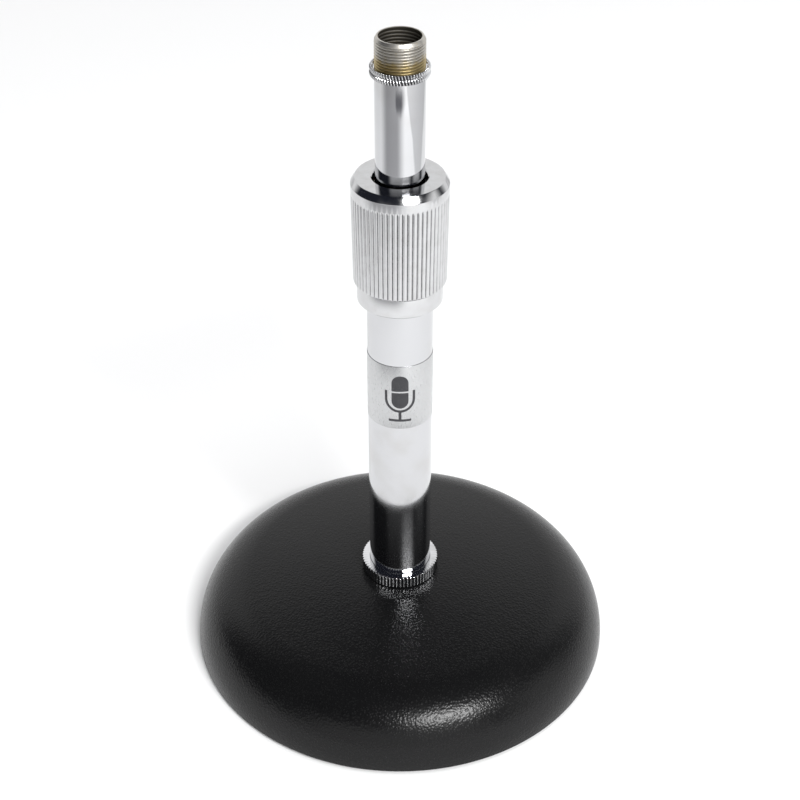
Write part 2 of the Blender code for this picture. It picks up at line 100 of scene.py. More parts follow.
# ---- wiring ------------------------------------------------------------------------------------


class NodeBench:
    """A node tree on the bench, with short ways to add nodes and join them."""

    def __init__(self, tree: bpy.types.NodeTree) -> None:
        """Takes the tree that the nodes go into.

        Args:
            tree: a shader, world or geometry node tree.
        """
        self.tree = tree

    def feed(self, socket: Socket, value: Any) -> None:
        """Links an output into the socket, or sets the socket's own value.

        Args:
            socket: the input to feed.
            value: an output socket, or a plain value.
        """
        if isinstance(value, Socket):
            self.tree.links.new(value, socket)
        else:
            socket.default_value = value

    def add(self, kind: str, feeds: Optional[dict] = None, **settings: Any) -> Node:
        """Adds one node.

        Args:
            kind: the node's type name.
            feeds: what goes into its inputs, by name or by place.
            **settings: the node's own properties.

        Returns:
            The new node.
        """
        node = self.tree.nodes.new(kind)
        for name, value in settings.items():
            setattr(node, name, value)
        for key, value in (feeds or {}).items():
            self.feed(node.inputs[key], value)
        return node

    def sum(self, operation: str, *values: Any, clamp: bool = False) -> Socket:
        """Adds a Math node.

        Args:
            operation: the Math node's operation.
            *values: its one to three inputs.
            clamp: whether the result is kept between 0 and 1.

        Returns:
            The result's socket.
        """
        feeds = dict(enumerate(values))
        return self.add("ShaderNodeMath", feeds, operation=operation, use_clamp=clamp).outputs[0]

    def ranged(
        self,
        value: Any,
        start: Any,
        end: Any,
        first: Any = 0.0,
        last: Any = 1.0,
        smooth: bool = False,
    ) -> Socket:
        """Maps a value from one range to another, held at both ends.

        Args:
            value: what is mapped.
            start: the value that gives first.
            end: the value that gives last.
            first: the result at start.
            last: the result at end.
            smooth: whether the ends are eased.

        Returns:
            The result's socket.
        """
        feeds = {0: value, 1: start, 2: end, 3: first, 4: last}
        kind = "SMOOTHSTEP" if smooth else "LINEAR"
        return self.add("ShaderNodeMapRange", feeds, interpolation_type=kind).outputs[0]

    def noise(self, vector: Any, scale: float, detail: float = 2.0) -> Socket:
        """Adds a Noise Texture, and returns its value from 0 to 1.

        Args:
            vector: where the noise is read.
            scale: how many features there are to a metre.
            detail: how many finer layers are added.

        Returns:
            The value's socket.
        """
        feeds = {"Vector": vector, "Scale": scale, "Detail": detail}
        return self.add("ShaderNodeTexNoise", feeds).outputs[0]

    def mixed(self, share: Any, first: Any, second: Any) -> Socket:
        """Mixes two colours.

        Args:
            share: how much of the second colour there is, from 0 to 1.
            first: the colour at 0.
            second: the colour at 1.

        Returns:
            The mixed colour's socket.
        """
        feeds = {0: share, 6: first, 7: second}
        return self.add("ShaderNodeMix", feeds, data_type="RGBA").outputs[2]

    def scaled(self, vector: Any, scale: tuple[float, float, float]) -> Socket:
        """Scales a vector by its own factor on each axis, and returns it."""
        feeds = {0: vector, 1: scale}
        return self.add("ShaderNodeVectorMath", feeds, operation="MULTIPLY").outputs[0]

    def bump(self, height: Any, rise: float, strength: float = 1.0) -> Socket:
        """Adds a Bump node.

        Args:
            height: the relief, from 0 to 1.
            rise: how far apart 0 and 1 stand, in metres.
            strength: how much of the relief is used.

        Returns:
            The normal's socket.
        """
        feeds = {"Strength": strength, "Distance": rise, "Height": height}
        return self.add("ShaderNodeBump", feeds).outputs[0]


@dataclass(frozen=True)
class Finish:
    """A surface finish. Each kind wires its own material."""

    name: str = "finish"

    def build(self) -> bpy.types.Material:
        """Makes the material, or returns it if it was made before.

        Returns:
            The material.
        """
        found = bpy.data.materials.get(self.name)
        if found:
            return found
        material = bpy.data.materials.new(self.name)
        material.use_nodes = True
        bench = NodeBench(material.node_tree)
        shader = next(n for n in material.node_tree.nodes if n.type == "BSDF_PRINCIPLED")
        place = bench.add("ShaderNodeTexCoord").outputs["Object"]
        self.wire(bench, shader, place)
        return material

    def wire(self, bench: NodeBench, shader: Node, place: Socket) -> None:
        """Feeds the shader.

        Args:
            bench: the material's tree.
            shader: its Principled BSDF.
            place: the point on the piece, in metres.
        """
        raise NotImplementedError


def turned_place(bench: NodeBench, place: Socket) -> Socket:
    """Gives a point's distance from the column's axis and its height, as X and Z.

    Args:
        bench: the tree that it is worked out in.
        place: the point on the piece.

    Returns:
        A vector that is the same all the way round the column.
    """
    flat = bench.scaled(place, (1.0, 1.0, 0.0))
    length = bench.add("ShaderNodeVectorMath", {0: flat}, operation="LENGTH").outputs["Value"]
    height = bench.add("ShaderNodeSeparateXYZ", {0: place}).outputs["Z"]
    return bench.add("ShaderNodeCombineXYZ", {"X": length, "Z": height}).outputs[0]


def groove_share(bench: NodeBench) -> Socket:
    """How deep in a groove a point lies, from 0 on the crest to 1 at the root."""
    return bench.add("ShaderNodeAttribute", attribute_name=GROOVE_ATTRIBUTE).outputs["Fac"]


@dataclass(frozen=True)
class LeatheryCoating(Finish):
    """Baked black coating with a fine pebbled relief."""

    name: str = "leathery_black_coating"
    colour: Colour = (0.0034, 0.0034, 0.0036, 1.0)
    worn_colour: Colour = (0.0075, 0.0075, 0.0078, 1.0)
    pebble: float = 0.00085
    relief: float = 0.000062
    smooth_roughness: float = 0.22
    dull_roughness: float = 0.36
    ior: float = 1.32
    patch_scale: float = 26.0

    def wire(self, bench: NodeBench, shader: Node, place: Socket) -> None:
        """Feeds the shader with pebbles, finer grain and broad unevenness.

        Args:
            bench: the material's tree.
            shader: its Principled BSDF.
            place: the point on the piece, in metres.
        """
        warp = bench.add(
            "ShaderNodeTexNoise", {"Vector": place, "Scale": 0.6 / self.pebble, "Detail": 1.0}
        ).outputs["Color"]
        shift = bench.scaled(warp, (0.6 * self.pebble,) * 3)
        moved = bench.add("ShaderNodeVectorMath", {0: place, 1: shift}, operation="ADD").outputs[0]
        cells = bench.add(
            "ShaderNodeTexVoronoi",
            {"Vector": moved, "Scale": 1.0 / self.pebble, "Smoothness": 0.35},
            feature="SMOOTH_F1",
        ).outputs["Distance"]
        pebbles = bench.ranged(cells, 0.1, 0.75, 1.0, 0.0, smooth=True)
        broad = bench.noise(place, 0.22 / self.pebble, 2.0)
        fine = bench.noise(place, 4.0 / self.pebble, 2.0)
        relief = bench.sum("MULTIPLY_ADD", broad, 0.55, bench.sum("MULTIPLY", fine, 0.14))
        relief = bench.sum("MULTIPLY_ADD", pebbles, 0.60, relief)
        patches = bench.noise(place, self.patch_scale, 3.0)
        crest = bench.ranged(pebbles, 0.55, 1.0)
        dull = bench.sum("MULTIPLY_ADD", patches, 0.6, bench.sum("MULTIPLY", crest, 0.4))
        bench.feed(shader.inputs["Base Color"], bench.mixed(dull, self.colour, self.worn_colour))
        roughness = bench.ranged(dull, 0.2, 0.8, self.smooth_roughness, self.dull_roughness)
        bench.feed(shader.inputs["Roughness"], roughness)
        bench.feed(shader.inputs["Normal"], bench.bump(relief, self.relief))
        shader.inputs["IOR"].default_value = self.ior


@dataclass(frozen=True)
class BrightPlating(Finish):
    """Polished plating with the faint marks of grinding round the tube, and light smudges."""

    name: str = "bright_plating"
    colour: Colour = (0.60, 0.605, 0.62, 1.0)
    smudged_colour: Colour = (0.56, 0.56, 0.565, 1.0)
    clear_roughness: float = 0.05
    smudged_roughness: float = 0.10
    mark_spacing: float = 0.00022
    mark_rise: float = 4e-7
    smudge_scale: float = 70.0
    speck_scale: float = 2600.0
    # painted shade: the colour that grooves are darkened towards
    groove_shade_colour: Colour = (0.16, 0.155, 0.15, 1.0)
    groove_start: float = 0.05

    def wire(self, bench: NodeBench, shader: Node, place: Socket) -> None:
        """Feeds the shader with smudges, grinding marks and painted shade in any grooves.

        Args:
            bench: the material's tree.
            shader: its Principled BSDF.
            place: the point on the piece, in metres.
        """
        smudges = bench.ranged(bench.noise(place, self.smudge_scale, 4.0), 0.48, 0.72, smooth=True)
        specks = bench.ranged(bench.noise(place, self.speck_scale, 1.0), 0.70, 0.80)
        # painted shade: the deeper a point lies in a groove, the darker its colour
        groove = bench.ranged(groove_share(bench), self.groove_start, 0.95, 0.0, 0.95)
        clean = bench.mixed(smudges, self.colour, self.smudged_colour)
        bench.feed(shader.inputs["Base Color"], bench.mixed(groove, clean, self.groove_shade_colour))
        marked = bench.sum("MAXIMUM", smudges, bench.sum("MULTIPLY", specks, 0.6))
        roughness = bench.ranged(marked, 0.0, 1.0, self.clear_roughness, self.smudged_roughness)
        bench.feed(shader.inputs["Roughness"], bench.sum("MULTIPLY_ADD", groove, 0.25, roughness))
        round_place = turned_place(bench, place)
        marks = bench.noise(round_place, 1.0 / self.mark_spacing, 2.0)
        bench.feed(shader.inputs["Normal"], bench.bump(marks, self.mark_rise))
        shader.inputs["Metallic"].default_value = 1.0


@dataclass(frozen=True)
class KnurledPlating(BrightPlating):
    """Polished plating on a knurl, with dark painted shade between the teeth."""

    name: str = "knurled_plating"
    colour: Colour = (0.76, 0.765, 0.78, 1.0)
    # painted shade between the teeth, nearly black
    groove_shade_colour: Colour = (0.030, 0.030, 0.034, 1.0)
    groove_start: float = 0.10


@dataclass(frozen=True)
class SatinPlating(Finish):
    """Plating over a turned part: fine rings from the lathe, softer than the tubes."""

    name: str = "satin_plating"
    colour: Colour = (0.615, 0.62, 0.63, 1.0)
    dull_colour: Colour = (0.575, 0.575, 0.58, 1.0)
    # painted shade: the colour that the grooves are darkened towards
    groove_shade_colour: Colour = (0.30, 0.30, 0.305, 1.0)
    bright_roughness: float = 0.07
    dull_roughness: float = 0.15
    ring_spacing: float = 0.00018
    ring_rise: float = 9e-7
    cloud_scale: float = 340.0
    pit_scale: float = 2200.0

    def wire(self, bench: NodeBench, shader: Node, place: Socket) -> None:
        """Feeds the shader with lathe rings, cloudy patches and patchy painted shade in the
        grooves.

        Args:
            bench: the material's tree.
            shader: its Principled BSDF.
            place: the point on the piece, in metres.
        """
        round_place = turned_place(bench, place)
        rings = bench.noise(round_place, 1.0 / self.ring_spacing, 3.0)
        clouds = bench.ranged(bench.noise(place, self.cloud_scale, 4.0), 0.30, 0.75, smooth=True)
        pits = bench.ranged(bench.noise(place, self.pit_scale, 2.0), 0.66, 0.78)
        groove = groove_share(bench)
        clean = bench.mixed(clouds, self.colour, self.dull_colour)
        # painted shade in the grooves, a little patchy with the cloudy patches
        painted_groove_shade = bench.sum("MULTIPLY", groove, bench.ranged(clouds, 0.0, 1.0, 0.65, 1.0), clamp=True)
        bench.feed(shader.inputs["Base Color"], bench.mixed(painted_groove_shade, clean, self.groove_shade_colour))
        worn = bench.sum("MAXIMUM", clouds, pits)
        roughness = bench.ranged(worn, 0.0, 1.0, self.bright_roughness, self.dull_roughness)
        bench.feed(shader.inputs["Roughness"], bench.sum("MULTIPLY_ADD", painted_groove_shade, 0.2, roughness))
        relief = bench.sum("MULTIPLY_ADD", pits, -0.8, rings)
        bench.feed(shader.inputs["Normal"], bench.bump(relief, self.ring_rise))
        shader.inputs["Metallic"].default_value = 1.0


@dataclass(frozen=True)
class WornThreadPlating(Finish):
    """Nickel over brass: plated at the top, worn to the brass lower down, with painted shade in the
    grooves and the bore.
    """

    name: str = "worn_thread_plating"
    nickel: Colour = (0.58, 0.56, 0.52, 1.0)
    brass: Colour = (0.47, 0.38, 0.20, 1.0)
    # painted shade: the colour that the thread grooves and the bore are darkened towards
    thread_shade_colour: Colour = (0.040, 0.034, 0.024, 1.0)
    plated_height: float = 0.2334
    worn_height: float = 0.2308
    bore_radius: float = 0.0068
    roughness: float = 0.32
    patch_scale: float = 420.0
    blotch_scale: float = 1500.0
    wear_sway: float = 0.0011
    pitting: float = 1.2e-5

    def wire(self, bench: NodeBench, shader: Node, place: Socket) -> None:
        """Feeds the shader with the two metals, patchy wear, and painted shade in the grooves and
        the bore.

        Args:
            bench: the material's tree.
            shader: its Principled BSDF.
            place: the point on the piece, in metres.
        """
        split = bench.add("ShaderNodeSeparateXYZ", {0: turned_place(bench, place)})
        patches = bench.noise(place, self.patch_scale, 3.0)
        blotches = bench.noise(place, self.blotch_scale, 3.0)
        sway = bench.ranged(patches, 0.3, 0.7, -self.wear_sway, self.wear_sway)
        height = bench.sum("ADD", split.outputs["Z"], sway)
        worn = bench.ranged(height, self.plated_height, self.worn_height, smooth=True)
        rubbed = bench.ranged(blotches, 0.58, 0.72, 0.0, 0.55)
        metal = bench.mixed(bench.sum("MAXIMUM", worn, rubbed), self.nickel, self.brass)
        # painted shade: the bore is darkened almost to black, the thread grooves part of the way
        inside = bench.ranged(split.outputs["X"], self.bore_radius, self.bore_radius - 0.0002)
        bore_shade = bench.sum("MULTIPLY", inside, 0.97)
        groove = bench.ranged(groove_share(bench), 0.25, 1.0, 0.0, 0.62, smooth=True)
        dark = bench.sum("MAXIMUM", groove, bore_shade)
        bench.feed(shader.inputs["Base Color"], bench.mixed(dark, metal, self.thread_shade_colour))
        roughness = bench.sum("MULTIPLY_ADD", dark, 0.35, self.roughness)
        rough = bench.sum("MULTIPLY_ADD", blotches, 0.12, roughness)
        bench.feed(shader.inputs["Roughness"], rough)
        bench.feed(shader.inputs["Normal"], bench.bump(blotches, self.pitting))
        shader.inputs["Metallic"].default_value = 1.0


@dataclass(frozen=True)
class OiledSpringSteel(Finish):
    """Blued steel with an oily sheen and the marks of rolling."""

    name: str = "oiled_spring_steel"
    colour: Colour = (0.22, 0.23, 0.26, 1.0)
    straw_colour: Colour = (0.34, 0.30, 0.25, 1.0)
    cloud_scale: float = 240.0
    mark_scale: float = 5200.0
    mark_rise: float = 2.5e-6

    def wire(self, bench: NodeBench, shader: Node, place: Socket) -> None:
        """Feeds the shader with temper colours and rolling marks.

        Args:
            bench: the material's tree.
            shader: its Principled BSDF.
            place: the point on the piece, in metres.
        """
        clouds = bench.ranged(bench.noise(place, self.cloud_scale, 4.0), 0.4, 0.7, smooth=True)
        rings = bench.noise(turned_place(bench, place), self.mark_scale, 3.0)
        bench.feed(shader.inputs["Base Color"], bench.mixed(clouds, self.colour, self.straw_colour))
        bench.feed(shader.inputs["Roughness"], bench.ranged(clouds, 0.0, 1.0, 0.26, 0.42))
        bench.feed(shader.inputs["Normal"], bench.bump(rings, self.mark_rise))
        shader.inputs["Metallic"].default_value = 1.0


@dataclass(frozen=True)
class NaturalNylon(Finish):
    """Machined nylon, slightly see-through at its edges, with fine turning rings."""

    name: str = "natural_nylon"
    colour: Colour = (0.70, 0.68, 0.60, 1.0)
    stained_colour: Colour = (0.50, 0.47, 0.38, 1.0)
    stain_scale: float = 190.0
    ring_scale: float = 4200.0
    ring_rise: float = 5e-6
    see_through: float = 0.15
    light_depth: float = 0.001

    def wire(self, bench: NodeBench, shader: Node, place: Socket) -> None:
        """Feeds the shader with grease stains and turning rings.

        Args:
            bench: the material's tree.
            shader: its Principled BSDF.
            place: the point on the piece, in metres.
        """
        stains = bench.ranged(bench.noise(place, self.stain_scale, 4.0), 0.45, 0.75, smooth=True)
        rings = bench.noise(turned_place(bench, place), self.ring_scale, 3.0)
        tone = bench.mixed(stains, self.colour, self.stained_colour)
        bench.feed(shader.inputs["Base Color"], tone)
        bench.feed(shader.inputs["Roughness"], bench.ranged(stains, 0.0, 1.0, 0.46, 0.30))
        bench.feed(shader.inputs["Normal"], bench.bump(rings, self.ring_rise))
        shader.inputs["Subsurface Weight"].default_value = self.see_through
        shader.inputs["Subsurface Scale"].default_value = self.light_depth


@dataclass(frozen=True)
class MouldedRubber(Finish):
    """Black rubber with a fine matt grain and a little bloom."""

    name: str = "moulded_rubber"
    colour: Colour = (0.014, 0.014, 0.014, 1.0)
    bloom_colour: Colour = (0.045, 0.044, 0.042, 1.0)
    bloom_scale: float = 210.0
    grain_scale: float = 5200.0
    grain_rise: float = 2e-5

    def wire(self, bench: NodeBench, shader: Node, place: Socket) -> None:
        """Feeds the shader with grain and bloom.

        Args:
            bench: the material's tree.
            shader: its Principled BSDF.
            place: the point on the piece, in metres.
        """
        bloom = bench.ranged(bench.noise(place, self.bloom_scale, 5.0), 0.45, 0.8, smooth=True)
        grain = bench.noise(place, self.grain_scale, 3.0)
        tone = bench.mixed(bloom, self.colour, self.bloom_colour)
        bench.feed(shader.inputs["Base Color"], tone)
        bench.feed(shader.inputs["Roughness"], bench.ranged(bloom, 0.0, 1.0, 0.62, 0.85))
        bench.feed(shader.inputs["Normal"], bench.bump(grain, self.grain_rise))


@dataclass(frozen=True)
class BrushedFoil(Finish):
    """Silvered label foil, brushed along the tube, with faint creases."""

    name: str = "brushed_foil"
    colour: Colour = (0.575, 0.58, 0.585, 1.0)
    streak_colour: Colour = (0.52, 0.525, 0.535, 1.0)
    streak_scale: float = 3800.0
    streak_squash: float = 0.22
    crease_scale: float = 150.0
    streak_rise: float = 1.2e-6

    def wire(self, bench: NodeBench, shader: Node, place: Socket) -> None:
        """Feeds the shader with brushed streaks and creases.

        Args:
            bench: the material's tree.
            shader: its Principled BSDF.
            place: the point on the piece, in metres.
        """
        along = bench.scaled(place, (1.0, 1.0, self.streak_squash))
        streaks = bench.noise(along, self.streak_scale, 3.0)
        creases = bench.noise(place, self.crease_scale, 2.0)
        tone = bench.ranged(streaks, 0.3, 0.7)
        bench.feed(
            shader.inputs["Base Color"], bench.mixed(tone, self.colour, self.streak_colour)
        )
        bench.feed(shader.inputs["Roughness"], bench.ranged(streaks, 0.3, 0.7, 0.20, 0.30))
        relief = bench.sum("MULTIPLY_ADD", creases, 4.0, streaks)
        bench.feed(shader.inputs["Normal"], bench.bump(relief, self.streak_rise))
        shader.inputs["Metallic"].default_value = 1.0


@dataclass(frozen=True)
class LabelInk(Finish):
    """Dark printing ink, thin in places."""

    name: str = "label_ink"
    colour: Colour = (0.020, 0.020, 0.024, 1.0)
    thin_colour: Colour = (0.075, 0.075, 0.080, 1.0)
    thin_scale: float = 2400.0
    thin_rise: float = 3e-6

    def wire(self, bench: NodeBench, shader: Node, place: Socket) -> None:
        """Feeds the shader with uneven ink.

        Args:
            bench: the material's tree.
            shader: its Principled BSDF.
            place: the point on the piece, in metres.
        """
        thin = bench.ranged(bench.noise(place, self.thin_scale, 4.0), 0.5, 0.75, smooth=True)
        bench.feed(shader.inputs["Base Color"], bench.mixed(thin, self.colour, self.thin_colour))
        bench.feed(shader.inputs["Roughness"], bench.ranged(thin, 0.0, 1.0, 0.34, 0.5))
        bench.feed(shader.inputs["Normal"], bench.bump(thin, self.thin_rise))


@dataclass(frozen=True)
class StudioPaper(Finish):
    """Pale paper that the stand is set on."""

    name: str = "studio_paper"
    colour: Colour = (0.905, 0.905, 0.905, 1.0)
    shade_colour: Colour = (0.89, 0.89, 0.89, 1.0)
    cloud_scale: float = 2.5

    def wire(self, bench: NodeBench, shader: Node, place: Socket) -> None:
        """Feeds the shader with a faint unevenness.

        Args:
            bench: the material's tree.
            shader: its Principled BSDF.
            place: the point on the piece, in metres.
        """
        clouds = bench.noise(place, self.cloud_scale, 2.0)
        bench.feed(shader.inputs["Base Color"], bench.mixed(clouds, self.colour, self.shade_colour))
        shader.inputs["Roughness"].default_value = 0.95
        shader.inputs["Specular IOR Level"].default_value = 0.1


# ---- half sections -----------------------------------------------------------------------------


def arc(centre: Point, radius: float, start: float, end: float, steps: int) -> list[Point]:
    """Points along an arc of a half section.

    Args:
        centre: the arc's centre, as distance from the axis and height.
        radius: its radius.
        start: the angle of the first point.
        end: the angle of the last point.
        steps: how many chords it is cut into.

    Returns:
        steps + 1 points.
    """
    angles = [start + (end - start) * step / steps for step in range(steps + 1)]
    return [(centre[0] + radius * math.cos(a), centre[1] + radius * math.sin(a)) for a in angles]


def rounded(corners: Sequence[Corner], steps: int = 5, closed: bool = True) -> list[Point]:
    """Rounds the corners of a half section.

    Args:
        corners: for each corner its distance from the axis, its height and its rounding.
        steps: how many chords each rounding is cut into.
        closed: whether the last corner joins the first.

    Returns:
        The points in the same order.
    """
    points: list[Point] = []
    count = len(corners)
    for place, (reach, height, rounding) in enumerate(corners):
        here = Vector((reach, height))
        if rounding <= 0 or (not closed and place in (0, count - 1)):
            points.append((reach, height))
            continue
        before = Vector(corners[place - 1][:2]) - here
        after = Vector(corners[(place + 1) % count][:2]) - here
        half = before.angle(after) / 2
        if half > FLAT_CORNER:
            points.append((reach, height))
            continue
        length = min(rounding / math.tan(half), 0.49 * before.length, 0.49 * after.length)
        inset = length * math.tan(half)
        towards = (before.normalized() + after.normalized()).normalized()
        middle = here + towards * (inset / math.sin(half))
        first = here + before.normalized() * length - middle
        last = here + after.normalized() * length - middle
        turn = math.pi - 2 * half
        for step in range(steps + 1):
            share = step / steps
            spoke = first * (math.sin((1 - share) * turn) / math.sin(turn))
            spoke += last * (math.sin(share * turn) / math.sin(turn))
            points.append(tuple(middle + spoke))
    return points


def with_rows(points: Sequence[Point], low: float, high: float, spacing: float) -> list[Point]:
    """Adds points where a cut needs them.

    Args:
        points: a closed half section.
        low: the lower end of the heights that get more points.
        high: the upper end.
        spacing: the widest gap between points there.

    Returns:
        The half section with the added points.
    """
    dense: list[Point] = []
    for place, here in enumerate(points):
        after = points[(place + 1) % len(points)]
        dense.append(here)
        bottom, top = sorted((here[1], after[1]))
        start, end = max(bottom, low), min(top, high)
        if end - start < spacing or top - bottom < spacing:
            continue
        count = max(1, math.ceil((end - start) / spacing))
        heights = [start + (end - start) * step / count for step in range(count + 1)]
        heights = [h for h in heights if bottom + MERGE_DISTANCE < h < top - MERGE_DISTANCE]
        for height in heights if after[1] > here[1] else reversed(heights):
            share = (height - here[1]) / (after[1] - here[1])
            dense.append((here[0] + (after[0] - here[0]) * share, height))
    return dense


@dataclass(frozen=True)
class Span:
    """Where a round CAD node stands: its two heights and its outer radius."""

    low: float
    high: float
    radius: float

    @classmethod
    def of(cls, node: str) -> "Span":
        """Reads a node's box.

        Args:
            node: the CAD node's name.

        Returns:
            Its span.
        """
        lo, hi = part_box(node)
        return cls(lo.z, hi.z, max(hi.x, hi.y, -lo.x, -lo.y))


# ---- Geometry Nodes ----------------------------------------------------------------------------


@dataclass(frozen=True)
class TreeInput:
    """A tree's input: its name, its socket's type and the operation's field that it takes."""

    name: str
    kind: str
    source: str

    def value(self, operation: Any) -> Any:
        """The operation's value for this input, in the type that the socket takes."""
        found = getattr(operation, self.source)
        return float(found) if self.kind == "Float" else found


@dataclass(frozen=True)
class Operation:
    """A step in making a piece: a Geometry Nodes tree and the values that it takes."""

    TREE: ClassVar[str] = ""
    INPUTS: ClassVar[tuple[TreeInput, ...]] = ()

    def wire(self, bench: NodeBench, given: Node, shape: Socket) -> Socket:
        """Wires the tree's own work.

        Args:
            bench: the tree.
            given: its Group Input.
            shape: the geometry that comes in.

        Returns:
            The geometry that comes out.
        """
        raise NotImplementedError

    def tree(self) -> bpy.types.NodeTree:
        """Makes the tree, or returns it if it was made before.

        Returns:
            The tree.
        """
        found = bpy.data.node_groups.get(self.TREE)
        if found:
            return found
        tree = bpy.data.node_groups.new(self.TREE, "GeometryNodeTree")
        face = tree.interface
        face.new_socket(name="Geometry", in_out="INPUT", socket_type="NodeSocketGeometry")
        for item in (*self.INPUTS, TreeInput("Finish", "Material", "")):
            face.new_socket(name=item.name, in_out="INPUT", socket_type="NodeSocket" + item.kind)
        face.new_socket(name="Geometry", in_out="OUTPUT", socket_type="NodeSocketGeometry")
        bench = NodeBench(tree)
        given = bench.add("NodeGroupInput")
        made = self.wire(bench, given, given.outputs["Geometry"])
        smooth = bench.add("GeometryNodeSetShadeSmooth", {"Geometry": made}).outputs[0]
        real = bench.add("GeometryNodeRealizeInstances", {"Geometry": smooth}).outputs[0]
        feeds = {"Geometry": real, "Material": given.outputs["Finish"]}
        dressed = bench.add("GeometryNodeSetMaterial", feeds).outputs[0]
        bench.add("NodeGroupOutput", {"Geometry": dressed})
        return tree

    def put_on(self, piece: bpy.types.Object, finish: bpy.types.Material) -> None:
        """Adds the tree to a piece as a modifier, with its inputs set.

        Args:
            piece: the object that it works on.
            finish: the material that it gives.
        """
        modifier = piece.modifiers.new(self.TREE, "NODES")
        modifier.node_group = self.tree()
        wanted = {item.name: item.value(self) for item in self.INPUTS}
        wanted["Finish"] = finish
        for item in modifier.node_group.interface.items_tree:
            if item.in_out == "INPUT" and item.name in wanted:
                modifier[item.identifier] = wanted.pop(item.name)
        if wanted:
            raise ValueError(f"{self.TREE} has no input named {', '.join(wanted)}")


@dataclass(frozen=True)
class Turning(Operation):
    """Sweeps a half section round the Z axis, all the way or part of it."""

    TREE: ClassVar[str] = "turn_half_section"
    INPUTS: ClassVar[tuple[TreeInput, ...]] = (
        TreeInput("Steps", "Int", "steps"),
        TreeInput("Whole", "Bool", "whole"),
        TreeInput("Start", "Float", "start"),
        TreeInput("Sweep", "Float", "sweep"),
    )
    steps: int = 192
    start: float = 0.0
    sweep: float = FULL_TURN

    @property
    def whole(self) -> bool:
        """Whether the sweep goes all the way round."""
        return self.sweep > FULL_TURN - MERGE_DISTANCE

    def wire(self, bench: NodeBench, given: Node, shape: Socket) -> Socket:
        """Wires the sweep. The half section comes in as a chain of edges.

        Args:
            bench: the tree.
            given: its Group Input.
            shape: the geometry that comes in.

        Returns:
            The geometry that comes out.
        """
        section = bench.add("GeometryNodeMeshToCurve", {"Mesh": shape}).outputs[0]
        steps = given.outputs["Steps"]
        circle = bench.add(
            "GeometryNodeCurvePrimitiveCircle", {"Resolution": steps, "Radius": PATH_RADIUS}
        ).outputs[0]
        part = bench.add(
            "GeometryNodeCurveArc",
            {
                "Resolution": steps,
                "Radius": PATH_RADIUS,
                "Start Angle": given.outputs["Start"],
                "Sweep Angle": given.outputs["Sweep"],
            },
        ).outputs[0]
        path = bench.add(
            "GeometryNodeSwitch",
            {"Switch": given.outputs["Whole"], "False": part, "True": circle},
            input_type="GEOMETRY",
        ).outputs[0]
        upright = bench.add("GeometryNodeSetCurveNormal", {"Curve": path}, mode="Z_UP").outputs[0]
        swept = bench.add(
            "GeometryNodeCurveToMesh",
            {"Curve": upright, "Profile Curve": section, "Fill Caps": True},
        ).outputs[0]
        feeds = {"Geometry": swept, "Distance": MERGE_DISTANCE}
        return bench.add("GeometryNodeMergeByDistance", feeds).outputs[0]


